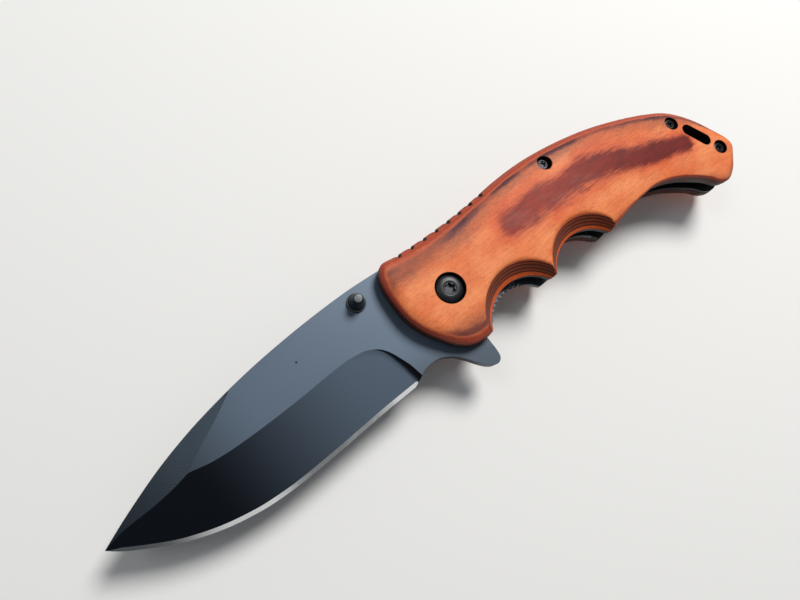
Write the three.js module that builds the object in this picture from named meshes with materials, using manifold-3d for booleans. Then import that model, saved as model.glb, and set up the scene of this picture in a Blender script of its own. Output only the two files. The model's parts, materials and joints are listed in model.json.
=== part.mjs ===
// A folding pocket knife, open and locked: a drop-point blade with a flipper tab, two steel liners with
// a lock bar, and finger-grooved wooden scales. Millimetres. +X runs from the pivot to the butt, +Y
// to the spine, and +Z to the show side. Pieces are placed from the pivot's axis and the blade's mid-plane,
// and the last lines put the origin under the middle of the whole knife.

import * as THREE from "three";
import { mergeVertices } from "three/addons/utils/BufferGeometryUtils.js";
import Module from "manifold-3d";

const wasm = await Module();
wasm.setup();

// Driving dimensions: the stack of sheets, counted out from the blade's mid-plane
const bladeThickness = 3;
const washerThickness = 0.4;
const linerThickness = 1.3;
const scaleThickness = 4.4;

// Blade
const bladeReach = 98; // from the pivot's axis to the point
const edgeThickness = 0.08;
const sharpeningWidth = 1.05;
const shoulderThickness = 0.62; // just above the sharpening bevel
const ridgeThicknessAtPoint = 0.5;
const spineThicknessAtSwedge = 0.9;
const plungeWidth = 1.7;
const studHoleRadius = 1.1;

// Thumb studs
const studX = -20.5;
const studY = 11.8;
const studFlangeRadius = 2.55;
const studFlangeHeight = 0.8;
const studRadius = 2.05; // at the foot of its cone
const studTopRadius = 1.2;
const studHeight = 4.7;

// Pivot, stop and fold
const foldAngle = 170;
const pivotRadius = 2.5;
const pivotHeadRadius = 3.95;
const pivotHeadHeight = 3.9;
const pivotDishRadius = 1.85;
const pivotSocketRadius = 1.45;
const pivotSocketDepth = 1.9;
const pivotBoreRadius = 1.5;
const washerRadius = 6;
const stopPinRadius = 1.5;
const stopPinOrbit = 10;
const flipperRearX = 1.9;

// Lock bar
const lockFaceX = 6.2;
const lockFaceTop = -1.5;
const lockBarTop = -2.2;
const lockBarRootX = 49;
const lockSlotWidth = 0.7;
const lockPadProud = 1.4;
const lockToothPitch = 1.5;
const lockToothDepth = 0.55;
const lockToothCount = 9;
const detentBallRadius = 0.8;
const detentBallProud = 0.38;

// Scales
const edgeRounding = 4; // how far in from the outline the rounding starts
const edgeDrop = 2.3; // how far the rounding falls
const bellyRounding = 0.8; // the same along the tail's belly, which is left nearly square
const crownRadius = 110;
const sagStart = 45; // where the crown starts to fall towards the tail
const sagRadius = 1400;
const grooveRadius = 13;
const grooveLean = 37; // degrees that the finger grooves' walls lean back from the liner
const grooveFlare = 0.28; // growth of the grooves' radius for each millimetre of height
const rearGrooveUpright = 3; // height of the rear scale's groove walls that doesn't lean
const jimpingCount = 8;
const jimpingPitch = 4.22;
const jimpingDepth = 0.6;

// Fasteners and lanyard slot
const screwRadius = 1.1;
const screwHeadRadius = 1.95;
const screwHeadHeight = 1.2;
const screwSocketRadius = 0.95;
const screwSocketDepth = 0.8;
const screwSeatHeight = 1.4; // wood left under each screw head
const lanyardWidth = 3.6;
const backspacerInset = 0.9;
const backspacerFrontX = 28;

// Pocket clip
const clipThickness = 1;
const clipWidth = 9;
const clipLength = 66;
const clipStandoff = 3; // how far the arm stands off the base
const clipSeatDepth = 0.8; // how deep the base is let into the wood

// Clearances
const runningGap = 0.08;
const stopGap = 0.1;
const fastenerGap = 0.12;
const headGap = 0.2;
const seatGap = 0.25;
const foldedBladeGap = 1.3;

// Levels that follow from the stack
const bladeFace = bladeThickness / 2;
const linerInside = bladeFace + washerThickness;
const linerOutside = linerInside + linerThickness;
const scaleTop = linerOutside + scaleThickness;
const screwSeat = linerOutside + screwSeatHeight;

const { PI, sin, cos, tan, sqrt, acos, asin, atan2, min, max } = Math;
const radians = THREE.MathUtils.degToRad;
const lerp = THREE.MathUtils.lerp;
const point = (x, y) => new THREE.Vector2(x, y);
const points = (pairs) => pairs.map(([x, y]) => point(x, y));

// Solids

function signedVolume(geometry) {
  const index = geometry.index.array;
  const position = geometry.attributes.position;
  const corners = [new THREE.Vector3(), new THREE.Vector3(), new THREE.Vector3()];
  let sum = 0;
  for (let i = 0; i < index.length; i += 3) {
    corners.forEach((corner, k) => corner.fromBufferAttribute(position, index[i + k]));
    sum += corners[0].dot(corners[1].clone().cross(corners[2])) / 6;
  }
  return sum;
}

// A manifold solid from any closed three.js geometry, turned right side out if need be.
function solidOf(source) {
  const bare = source.clone();
  bare.deleteAttribute("normal");
  bare.deleteAttribute("uv");
  const geometry = mergeVertices(bare, 1e-5);
  const triVerts = Uint32Array.from(geometry.index.array);
  if (signedVolume(geometry) < 0) {
    for (let i = 0; i < triVerts.length; i += 3) {
      [triVerts[i + 1], triVerts[i + 2]] = [triVerts[i + 2], triVerts[i + 1]];
    }
  }
  const vertProperties = Float32Array.from(geometry.attributes.position.array);
  return new wasm.Manifold(new wasm.Mesh({ numProp: 3, vertProperties, triVerts }));
}

function geometryOf(solid) {
  const mesh = solid.getMesh();
  const geometry = new THREE.BufferGeometry();
  geometry.setAttribute("position", new THREE.BufferAttribute(mesh.vertProperties, 3));
  geometry.setIndex(new THREE.BufferAttribute(mesh.triVerts, 1));
  geometry.computeVertexNormals();
  return geometry;
}

const cut = (solid, tools) => tools.reduce((left, tool) => left.subtract(tool), solid);

// The same solid seen in a mirror that lies in the blade's mid-plane.
const reflected = (solid) => solidOf(geometryOf(solid).scale(1, 1, -1));

function plate(outline, low, high) {
  const shape = outline instanceof THREE.Shape ? outline : new THREE.Shape(outline);
  const options = { depth: high - low, bevelEnabled: false, curveSegments: 12 };
  return solidOf(new THREE.ExtrudeGeometry(shape, options).translate(0, 0, low));
}

// A body of revolution about Z from a profile of [radius, height] pairs.
function turned(profile, segments = 40) {
  return solidOf(new THREE.LatheGeometry(points(profile), segments).rotateX(PI / 2));
}

function rod(x, y, radius, low, high, segments = 24) {
  const profile = [[0, low], [radius, low], [radius, high], [0, high]];
  return turned(profile, segments).translate([x, y, 0]);
}

// A skin over rings with the same number of points. Its ends are closed in the plane that flatten gives.
function loft(rings, flatten = (p) => point(p.x, p.y)) {
  const count = rings[0].length;
  const positions = rings.flat().flatMap((p) => [p.x, p.y, p.z]);
  const index = [];
  for (let k = 0; k + 1 < rings.length; k++) {
    for (let i = 0; i < count; i++) {
      const a = k * count + i;
      const b = k * count + ((i + 1) % count);
      index.push(a, b, b + count, a, b + count, a + count);
    }
  }
  const lastRing = (rings.length - 1) * count;
  for (const [start, ring] of [[0, rings[0]], [lastRing, rings.at(-1)]]) {
    const flat = ring.map(flatten);
    const ringArea = THREE.ShapeUtils.area(flat);
    for (const face of THREE.ShapeUtils.triangulateShape(flat, [])) {
      const [a, b, c] = face.map((i) => start + i);
      const follows = THREE.ShapeUtils.area(face.map((i) => flat[i])) * ringArea > 0;
      index.push(...(follows === (start === 0) ? [a, c, b] : [a, b, c]));
    }
  }
  const geometry = new THREE.BufferGeometry();
  geometry.setAttribute("position", new THREE.Float32BufferAttribute(positions, 3));
  geometry.setIndex(index);
  return solidOf(geometry);
}

// A six-lobed driver socket, cut down from a head's top.
function driverSocket(radius, top, depth) {
  const lobes = 6;
  const steps = 18;
  const outline = [];
  for (let i = 0; i < steps; i++) {
    const angle = (2 * PI * i) / steps;
    const reach = radius * (0.87 + 0.13 * cos(lobes * angle));
    outline.push(point(reach * cos(angle), reach * sin(angle)));
  }
  return plate(outline, top - depth, top + 1);
}

// Curves that run steadily along X, read by height

function heightOf(curve) {
  const first = curve.getPoint(0).x;
  const last = curve.getPoint(1).x;
  return (x) => {
    let low = 0;
    let high = 1;
    for (let step = 0; step < 40; step++) {
      const middle = (low + high) / 2;
      const passed = last > first ? curve.getPoint(middle).x < x : curve.getPoint(middle).x > x;
      if (passed) low = middle;
      else high = middle;
    }
    return curve.getPoint((low + high) / 2).y;
  };
}

// Blade outline. The part ahead of the plunge stretches with the blade's reach.

const spinePoints = [
  [-98, 0], [-90, 3.6], [-80, 7.5], [-70, 10.4], [-60, 12.4], [-50, 13.9], [-40, 14.9], [-30, 15.5],
  [-20, 15.7], [-10, 15.3], [-3, 14.9],
];
const drawnReach = -spinePoints[0][0];
const plungeX = -32;
const bladeStretch = (bladeReach + plungeX) / (drawnReach + plungeX);
const alongBlade = (x) => (x > plungeX ? x : plungeX + (x - plungeX) * bladeStretch);
const bladeLine = (pairs) => new THREE.SplineCurve(pairs.map(([x, y]) => point(alongBlade(x), y)));

const spineLine = bladeLine(spinePoints);
const edgeLine = bladeLine([
  [-98, 0], [-95, -2.6], [-90, -5.9], [-85, -8.8], [-80, -11], [-75, -12.7], [-70, -13.9],
  [-65, -14.7], [-57, -15.2], [-45, -15], [-32, -14.5], [-21.2, -14.35],
]);
const flipperLine = new THREE.SplineCurve(points([
  [-18.3, -13], [-16.6, -12.4], [-14.7, -12.2], [-12.4, -12.4], [-10, -13.4], [-7.8, -15.1],
  [-5.8, -17.6], [-4.3, -19.7], [-2.8, -21.5], [-1.4, -22.5], [0.1, -22.8], [1.3, -22.1],
  [flipperRearX - 0.15, -20.8], [flipperRearX, -18.5],
]));
const spineHeight = heightOf(spineLine);
const edgeHeight = heightOf(edgeLine);

// The stop pin meets the tang's shoulder when the blade is open and the flipper's back when it is shut.
const pinAngleShut = -acos((flipperRearX + stopPinRadius + stopGap) / stopPinOrbit);
const pinAngle = pinAngleShut + radians(foldAngle);
const stopPinX = stopPinOrbit * cos(pinAngle);
const stopPinY = stopPinOrbit * sin(pinAngle);
const shoulderX = stopPinX - stopPinRadius - stopGap;
const tangRadius = stopPinOrbit - stopPinRadius - 2 * stopGap;

function bladeOutline() {
  const onTang = (x) => sqrt(tangRadius ** 2 - x ** 2);
  const spine = spineLine.getPoints(24).filter((spot) => spot.x < shoulderX);
  const shape = new THREE.Shape(spine);
  shape.lineTo(shoulderX, spineHeight(shoulderX));
  shape.lineTo(shoulderX, onTang(shoulderX));
  const notchStart = asin(lockFaceTop / tangRadius);
  const notchEnd = -acos(lockFaceX / tangRadius);
  const flipperStart = -acos(flipperRearX / tangRadius);
  shape.absarc(0, 0, tangRadius, atan2(onTang(shoulderX), shoulderX), notchStart, true);
  shape.lineTo(lockFaceX, lockFaceTop);
  shape.absarc(0, 0, tangRadius, notchEnd, flipperStart, true);
  const flipper = flipperLine.getPoints(24).reverse();
  const edge = edgeLine.getPoints(24).reverse();
  return [...shape.getPoints(7), ...flipper, point(-20.1, -13.9), ...edge.slice(0, -1)];
}

// Bevels: each cutter is a loft of slices across the blade, from a line on the flat down to the edge.

const ridgePeakX = -75.4;
const ridgeLine = bladeLine([
  [-98, 0], [-93, 1], [-85, 1.3], [-80, 1.8], [-77, 2.35], [ridgePeakX, 2.6], [-73, 2.05], [-70, 1.4],
  [-65, 0.9], [-58, 0.7], [-50, 0.75], [-45, 0.9], [-40, 1.15], [-35, 1.35], [plungeX, 1.4],
]);
const swedgeLine = bladeLine([
  [-98, 0], [-93, 1], [-85, 1.3], [-80, 1.8], [-77, 2.35], [ridgePeakX, 2.6], [-73.6, 3.8], [-70, 5.9],
  [-65, 8.4], [-60, 11.3], [-56, 13.8],
]);
const plungeLine = new THREE.SplineCurve(points([
  [plungeX, 1.4], [-27.4, 0.85], [-25, 0], [-22.8, -1.5], [-21.2, -3.8], [-20, -6.65], [-19.1, -9.2],
  [-18.5, -12.2], [-18.1, -14.6],
]));
const ridgeHeight = heightOf(ridgeLine);
const swedgeHeight = heightOf(swedgeLine);
const cutterTop = bladeThickness + 1;
const lean = 0.8; // the cutters' walls lean over each other above the ridge, so no fin is left there

// Half thickness along the ridge: full on the flats, falling to the point.
function ridgeLevel(x) {
  const share = (x + bladeReach) / (alongBlade(ridgePeakX) + bladeReach);
  return lerp(ridgeThicknessAtPoint / 2, bladeFace, THREE.MathUtils.clamp(share, 0, 1));
}

function mainBevelCutter() {
  const edgeLevel = edgeThickness / 2;
  const slice = (line, lineLevel, foot, footLevel) => {
    const edgeY = min(edgeHeight(foot.x), foot.y - 0.2);
    const bevelY = min(edgeY + sharpeningWidth, lerp(edgeY, foot.y, 0.45));
    const bevelLevel = min(shoulderThickness / 2, lerp(edgeLevel, footLevel, 0.5));
    return [
      new THREE.Vector3(line.x, line.y, lineLevel),
      new THREE.Vector3(foot.x, foot.y, footLevel),
      new THREE.Vector3(foot.x, bevelY, bevelLevel),
      new THREE.Vector3(foot.x, edgeY, edgeLevel),
      new THREE.Vector3(foot.x, edgeY - 2, edgeLevel),
      new THREE.Vector3(foot.x, edgeY - 2, cutterTop),
      new THREE.Vector3(line.x, line.y + lean, cutterTop),
    ];
  };
  // Level of the ground face at a place, as if there were no plunge
  const faceLevel = (x, y, lineY, lineLevel) => {
    const bevelY = edgeHeight(x) + sharpeningWidth;
    const share = (y - bevelY) / (lineY - bevelY);
    return lerp(shoulderThickness / 2, lineLevel, THREE.MathUtils.clamp(share, 0, 1));
  };
  const slices = [];
  const stations = 17;
  const start = -bladeReach - 1;
  for (let i = 0; i < stations; i++) {
    const x = lerp(start, plungeX - 1, i / (stations - 1));
    const line = point(x, ridgeHeight(x));
    const level = ridgeLevel(x);
    const foot = point(x, lerp(line.y, edgeHeight(x), 0.35));
    slices.push(slice(line, level, foot, faceLevel(x, foot.y, line.y, level)));
  }
  const plungeSteps = 12;
  for (let i = 0; i <= plungeSteps; i++) {
    const share = i / plungeSteps;
    const line = plungeLine.getPoint(share);
    const along = plungeLine.getTangent(share);
    const width = plungeWidth * min(1, 0.35 + share);
    const foot = point(line.x + along.y * width, line.y - along.x * width);
    slices.push(slice(line, bladeFace, foot, faceLevel(foot.x, foot.y, ridgeHeight(plungeX), bladeFace)));
  }
  return loft(slices, (p) => point(p.y, p.z));
}

function swedgeCutter() {
  const stations = 16;
  const end = alongBlade(-56);
  const slices = [];
  for (let i = 0; i < stations; i++) {
    const x = lerp(-bladeReach - 1, end, i / (stations - 1));
    const lineY = swedgeHeight(x);
    const spineY = max(spineHeight(x), lineY + 0.1);
    const towardEnd = THREE.MathUtils.clamp((x - alongBlade(-72)) / (end - alongBlade(-72)), 0, 1);
    const ahead = min(spineThicknessAtSwedge / 2, ridgeLevel(x) * 0.9);
    const spineLevel = lerp(ahead, bladeFace, towardEnd);
    slices.push([
      new THREE.Vector3(x, lineY, ridgeLevel(x)),
      new THREE.Vector3(x, spineY, spineLevel),
      new THREE.Vector3(x, spineY + 2, spineLevel),
      new THREE.Vector3(x, spineY + 2, cutterTop),
      new THREE.Vector3(x, lineY - lean, cutterTop),
    ]);
  }
  return loft(slices, (p) => point(p.y, p.z));
}

// Where the ball on the lock bar comes to lie on the tang once the blade is shut
const detentX = lockFaceX + seatGap + detentBallRadius + 0.3;
const detentY = lockBarTop - detentBallRadius - 0.4;

function bladeSolid() {
  const cutters = [mainBevelCutter(), swedgeCutter()];
  const dimple = point(detentX, detentY).rotateAround(point(0, 0), -radians(foldAngle));
  return cut(plate(bladeOutline(), -bladeFace, bladeFace), [
    ...cutters,
    ...cutters.map(reflected),
    rod(0, 0, pivotRadius + runningGap, -cutterTop, cutterTop, 32),
    rod(studX, studY, studHoleRadius, -cutterTop, cutterTop, 24),
    rod(dimple.x, dimple.y, detentBallRadius, -cutterTop, -bladeFace + detentBallProud, 20),
  ]);
}

// Thumb studs: the front one's stem passes through the blade into the rear one.

function thumbStud(withStem) {
  const flange = bladeFace + studFlangeHeight;
  const top = bladeFace + studHeight;
  const profile = [
    [0, bladeFace], [studFlangeRadius - 0.15, bladeFace], [studFlangeRadius, bladeFace + 0.2],
    [studFlangeRadius, flange - 0.2], [studFlangeRadius - 0.25, flange], [studRadius, flange + 0.1],
    [studRadius, flange + 0.7], [lerp(studRadius, studTopRadius, 0.35), top - 1.3],
    [lerp(studRadius, studTopRadius, 0.65), top - 0.5], [studTopRadius, top], [0, top],
  ];
  const head = turned(profile, 20);
  const stemRadius = studHoleRadius - fastenerGap;
  const stemReach = bladeFace + studHeight / 2;
  if (withStem) return head.add(rod(0, 0, stemRadius, -stemReach, bladeFace + 1, 24));
  const bore = rod(0, 0, stemRadius + runningGap, -cutterTop, stemReach + seatGap, 24);
  return reflected(head.subtract(bore));
}

// Handle outline. Behind the palm it stretches with the blade's reach, so that the blade still folds in.

const palmX = 53;
const palmStretch = (bladeReach - palmX) / (drawnReach - palmX);
const alongHandle = (x) => (x < palmX ? x : palmX + (x - palmX) * palmStretch);
const handleCurve = new THREE.CatmullRomCurve3(
  [
    [-10.2, 15.5], [-12.1, 13.9], [-13.5, 10.5], [-14, 5], [-13.7, 0], [-12.2, -4.6], [-9.7, -8.8],
    [-6.7, -12.6], [-3.6, -14.9], [0.1, -15.7], [4, -15.3], [12, -14.6], [27, -14.3], [42, -14.3],
    [51.6, -14.2], [55, -13.6], [60, -12.6], [66, -12.1], [71, -12.1], [75.5, -13.1], [80, -14.9],
    [84.5, -17.6], [88.5, -20.6], [91, -23.3], [94, -24.4], [97.3, -23.4], [101.2, -20.2],
    [103.9, -16.9], [104.1, -14.2], [102.6, -10.2], [99.8, -4.4], [96.5, 0.2], [92.3, 4], [86, 7.1],
    [78, 10.1], [68, 13.1], [58, 15.2], [48, 16.5], [40, 16.95], [31, 16.65], [22, 15.75], [12, 15.1],
    [2, 15], [-6, 15.25],
  ].map(([x, y]) => new THREE.Vector3(alongHandle(x), y, 0)),
  true,
  "centripetal",
);
const stepsPerSpan = 2;
const handleOutline = handleCurve.getPoints(stepsPerSpan * handleCurve.points.length).slice(0, -1);
const handleNormals = handleOutline.map((p, i) => {
  const before = handleOutline.at(i - 1);
  const after = handleOutline[(i + 1) % handleOutline.length];
  return point(after.y - before.y, before.x - after.x).normalize();
});
const inset = (distances) => handleOutline.map((p, i) => {
  const distance = typeof distances === "number" ? distances : distances[i];
  return point(p.x - handleNormals[i].x * distance, p.y - handleNormals[i].y * distance);
});

const topCurve = heightOf(new THREE.SplineCurve(points([
  [-20, 15], [10, 15.1], [40, 17], [60, 14.9], [80, 9.6], [95, 2.5], [112, -13],
])));
const bottomCurve = heightOf(new THREE.SplineCurve(points([
  [-20, -14], [10, -15], [50, -14], [66, -12.1], [80, -14.9], [95, -24.4], [112, -35],
])));

const bellyFrontX = 61;
const bellyRearX = 94;
const bellyTop = -10;

// Height of the outer face, which is crowned over the handle's middle line and sags towards the tail
function crownLevel(x, y) {
  const middle = (topCurve(x) + bottomCurve(x)) / 2;
  const sag = max(x - sagStart, 0) ** 2 / (2 * sagRadius);
  return scaleTop - sag - (y - middle) ** 2 / (2 * crownRadius);
}

function crownBlock() {
  const slices = 10;
  const strips = 6;
  const xs = Array.from({ length: slices + 1 }, (_, i) => lerp(-18, alongHandle(104) + 6, i / slices));
  const ys = Array.from({ length: strips + 1 }, (_, i) => lerp(-29, 21, i / strips));
  return loft(
    xs.map((x) => [
      new THREE.Vector3(x, ys[0], -scaleTop),
      ...ys.map((y) => new THREE.Vector3(x, y, crownLevel(x, y))),
      new THREE.Vector3(x, ys.at(-1), -scaleTop),
    ]),
    (p) => point(p.y, p.z),
  );
}

// The rounding is narrower along the tail's belly, and where the outline turns more tightly than it
// could follow.
function roundingWidths() {
  const count = handleOutline.length;
  const onBelly = ({ x, y }) => x > alongHandle(bellyFrontX) && x < alongHandle(bellyRearX) && y < bellyTop;
  const limits = handleNormals.map((normal, i) => {
    const after = (i + 1) % count;
    const turn = normal.cross(handleNormals[after]);
    const step = handleOutline[i].distanceTo(handleOutline[after]);
    const widest = onBelly(handleOutline[i]) ? bellyRounding : edgeRounding;
    return turn > 0 ? min(widest, (0.7 * step) / turn) : widest;
  });
  const reach = 2;
  const span = 2 * reach + 1;
  const around = (list, i) => Array.from({ length: span }, (_, k) => list.at((i + k - reach) % count));
  const lowest = limits.map((_, i) => min(...around(limits, i)));
  return lowest.map((_, i) => around(lowest, i).reduce((a, b) => a + b) / span);
}

// Finger grooves through the lower edge, given by their centre where the wood meets the liner
const grooves = [
  { x: 15.3, y: -21.2, radius: grooveRadius },
  { x: 39.7, y: -21.15, radius: grooveRadius - 0.3 },
];
const grooveSides = 36;

// A drum that sands a finger groove into one scale. It leans and flares above its upright part.
function grooveDrum({ x, y, radius }, upright) {
  const ring = (height, leaning) => Array.from({ length: grooveSides }, (_, i) => {
    const angle = (2 * PI * i) / grooveSides;
    const reach = radius + grooveFlare * leaning;
    const centreY = y + tan(radians(grooveLean)) * leaning;
    return new THREE.Vector3(x + reach * cos(angle), centreY + reach * sin(angle), linerOutside + height);
  });
  const top = scaleThickness + 1;
  if (upright === 0) return loft([ring(-1, -1), ring(top, top)]);
  return loft([ring(-1, 0), ring(upright, 0), ring(top, top - upright)]);
}

// Saw-cut notches in the wood of the spine, ahead of the thumb's rest
const spineRun = handleOutline.filter((p) => p.y > 13 && p.x < palmX).sort((a, b) => a.x - b.x);
const spineTop = heightOf(new THREE.SplineCurve(spineRun.map((p) => point(p.x, p.y))));
const jimpingFrontX = -5.1;

function jimpingCutters() {
  return Array.from({ length: jimpingCount }, (_, i) => {
    const x = jimpingFrontX + i * jimpingPitch;
    const y = spineTop(x);
    const outline = [
      [x - 1.5, y + 0.3], [x - 1.1, y - 0.1], [x + 0.1, y - jimpingDepth], [x + 0.55, y - jimpingDepth],
      [x + 0.8, y + 0.3],
    ];
    return plate(points(outline), linerOutside - 1, scaleTop + 1);
  });
}

// Screws and lanyard slot

const screwPlaces = [
  { name: "spine", x: 46.1, y: 12.25 },
  { name: "butt", x: alongHandle(90), y: -0.4 },
  { name: "tail", x: alongHandle(98.6), y: -15.1 },
];
const lanyardEnds = [point(alongHandle(93.1), -5), point(alongHandle(95.8), -10.5)];

function lanyardCutter(radius) {
  const [a, b] = lanyardEnds;
  const heading = atan2(b.y - a.y, b.x - a.x);
  const shape = new THREE.Shape();
  shape.absarc(b.x, b.y, radius, heading - PI / 2, heading + PI / 2);
  shape.absarc(a.x, a.y, radius, heading + PI / 2, heading + 1.5 * PI);
  return plate(shape.getPoints(5), -scaleTop - 1, scaleTop + 1);
}

function scaleSolid(grooveUpright) {
  const widths = roundingWidths();
  const arcSteps = 3;
  const rings = [inset(0).map((p) => new THREE.Vector3(p.x, p.y, linerOutside))];
  for (let k = 0; k <= arcSteps; k++) {
    const angle = (PI / 2) * (k / arcSteps);
    const ring = inset(widths.map((width) => width * (1 - cos(angle))));
    rings.push(ring.map((p, i) => {
      const drop = edgeDrop * sqrt(widths[i] / edgeRounding);
      return new THREE.Vector3(p.x, p.y, crownLevel(p.x, p.y) - 0.02 - drop * (1 - sin(angle)));
    }));
  }
  rings.push(inset(widths).map((p) => new THREE.Vector3(p.x, p.y, scaleTop + 1)));
  const seats = screwPlaces.flatMap(({ x, y }) => [
    rod(x, y, screwRadius + fastenerGap, linerOutside - 1, scaleTop + 1, 16),
    rod(x, y, screwHeadRadius + headGap, screwSeat, scaleTop + 1, 24),
  ]);
  return cut(loft(rings).intersect(crownBlock()), [
    ...grooves.map((groove) => grooveDrum(groove, grooveUpright)),
    ...jimpingCutters(),
    ...seats,
    lanyardCutter(lanyardWidth / 2),
    rod(0, 0, pivotHeadRadius + headGap, linerOutside - 1, scaleTop + 1, 28),
  ]);
}

// Liners

const linerInset = 0.15;
const grooveRod = ({ x, y, radius }, proud = 0) => (
  rod(x, y, radius - proud, -scaleTop, scaleTop, grooveSides)
);

function linerBlank(grooveTools) {
  return cut(plate(inset(linerInset), linerInside, linerOutside), grooveTools);
}

function linerSolid() {
  return cut(linerBlank(grooves.map((groove) => grooveRod(groove))), [
    rod(0, 0, pivotRadius + runningGap, 0, scaleTop, 32),
    rod(stopPinX, stopPinY, stopPinRadius + runningGap, 0, scaleTop, 20),
    ...screwPlaces.map(({ x, y }) => rod(x, y, screwRadius + fastenerGap, 0, scaleTop, 16)),
    lanyardCutter(lanyardWidth / 2),
  ]);
}

// Lock bar: the strip of the rear liner below the slot. It is drawn flat and sprung by its group.

const lockTipX = lockFaceX + seatGap;
const lockBarLength = lockBarRootX - lockTipX;
const lockTravel = linerInside;
const lockSpringAngle = asin(lockTravel / lockBarLength);
const belowBar = -30;
const rectangle = (left, low, right, high) => (
  points([[left, low], [right, low], [right, high], [left, high]])
);

function lockRegion(grow) {
  const right = lockBarRootX + min(grow, seatGap);
  const outline = rectangle(lockTipX - grow, belowBar, right, lockBarTop + grow);
  return plate(outline, -scaleTop, scaleTop);
}

function lockBarSolid() {
  const [thumbGroove, rearGroove] = grooves;
  const blank = reflected(linerBlank([grooveRod(thumbGroove, lockPadProud), grooveRod(rearGroove)]));
  const padRadius = thumbGroove.radius - lockPadProud;
  const pitchAngle = lockToothPitch / padRadius;
  const teeth = Array.from({ length: lockToothCount }, (_, i) => {
    const angle = radians(128) - i * pitchAngle;
    const x = thumbGroove.x + padRadius * cos(angle);
    const y = thumbGroove.y + padRadius * sin(angle);
    return rod(x, y, lockToothDepth, -scaleTop, scaleTop, 12);
  });
  const ball = new THREE.SphereGeometry(detentBallRadius, 20, 14);
  ball.translate(detentX, detentY, -linerInside + detentBallProud - detentBallRadius);
  return cut(blank.intersect(lockRegion(0)), teeth)
    .add(solidOf(ball))
    .translate([-lockBarRootX, 0, linerInside + linerThickness / 2]);
}

function rearLinerSolid() {
  const relief = rod(lockBarRootX - 3, lockBarTop + lockSlotWidth, 1.6, -scaleTop, scaleTop, 24);
  const clipHoles = clipScrewPlaces.map(({ x, y }) => (
    rod(x, y, screwRadius + fastenerGap, -scaleTop, 0, 16)
  ));
  return cut(reflected(linerSolid()), [lockRegion(lockSlotWidth), relief, ...clipHoles]);
}

// Backspacer: it fills the spine and the butt, and keeps clear of the folded blade.

function backspacerSolid() {
  const fold = (p, gap) => {
    const shut = p.clone().rotateAround(point(0, 0), radians(foldAngle));
    return point(shut.x, shut.y + gap);
  };
  const beyond = 60; // well outside the handle
  const tipOrbit = bladeReach + 1;
  const shutEdge = edgeLine.getPoints(24).map((p) => fold(p, foldedBladeGap)).reverse();
  const heel = shutEdge[0];
  const tipArc = [-11, -14, -18, -24].map((degrees) => (
    point(tipOrbit * cos(radians(degrees)), tipOrbit * sin(radians(degrees)))
  ));
  const room = [...shutEdge.slice(0, -1), ...tipArc, point(0, -beyond), point(0, heel.y)];
  const front = rectangle(-beyond, -beyond, backspacerFrontX, beyond);
  return cut(plate(inset(backspacerInset), -linerInside, linerInside), [
    plate(room, -scaleTop, scaleTop),
    plate(front, -scaleTop, scaleTop),
    ...screwPlaces.map(({ x, y }) => rod(x, y, screwRadius + fastenerGap, -scaleTop, scaleTop, 16)),
    lanyardCutter(lanyardWidth / 2),
  ]);
}

// Pivot: a barrel with a head on the rear side, and a screw with a domed head on the show side

function pivotHead(low, high) {
  return [
    [pivotHeadRadius, low], [pivotHeadRadius, high - 0.9], [pivotHeadRadius - 0.25, high - 0.5],
    [pivotHeadRadius - 0.8, high - 0.15], [pivotHeadRadius - 1.6, high], [pivotDishRadius + 0.15, high],
    [pivotDishRadius, high - 0.25], [0, high - 0.25],
  ];
}

function pivotScrewSolid() {
  const high = linerOutside + pivotHeadHeight;
  const shank = pivotBoreRadius - fastenerGap;
  const profile = [[0, -linerInside], [shank, -linerInside], [shank, linerOutside]];
  const body = turned([...profile, ...pivotHead(linerOutside, high)], 28);
  return body.subtract(driverSocket(pivotSocketRadius, high, pivotSocketDepth));
}

function pivotBarrelSolid() {
  const high = linerOutside + pivotHeadHeight;
  const barrelEnd = -linerOutside + seatGap;
  const profile = [[0, barrelEnd], [pivotRadius, barrelEnd], [pivotRadius, linerOutside]];
  const body = turned([...profile, ...pivotHead(linerOutside, high)], 28);
  const bore = rod(0, 0, pivotBoreRadius, -scaleTop, linerInside + 0.5, 32);
  return reflected(cut(body, [bore, driverSocket(pivotSocketRadius, high, pivotSocketDepth)]));
}

function washerSolid() {
  return turned([
    [pivotRadius + runningGap, bladeFace], [washerRadius, bladeFace], [washerRadius, linerInside],
    [pivotRadius + runningGap, linerInside], [pivotRadius + runningGap, bladeFace],
  ], 32);
}

// A button-head screw whose head seats at a given level and whose shank ends at another
function screwSolid(seat, shankEnd) {
  const top = seat + screwHeadHeight;
  const profile = [
    [0, shankEnd], [screwRadius, shankEnd], [screwRadius, seat], [screwHeadRadius, seat],
    [screwHeadRadius, seat + 0.55], [screwHeadRadius - 0.6, top], [0, top],
  ];
  return turned(profile, 18).subtract(driverSocket(screwSocketRadius, top, screwSocketDepth));
}

// Pocket clip: a bent spring strip, drawn along its own length and then laid on the rear scale

const clipStart = point(9, 6.5);
const clipHeading = radians(-3);
const clipSeat = scaleTop - clipSeatDepth;
const clipScrewInsets = [4.5, 12.5];
const clipScrewPlaces = clipScrewInsets.map((u) => (
  point(clipStart.x + u * cos(clipHeading), clipStart.y + u * sin(clipHeading))
));
const layClip = (solid) => {
  const geometry = geometryOf(solid).rotateZ(clipHeading).translate(clipStart.x, clipStart.y, 0);
  return solidOf(geometry);
};

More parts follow.
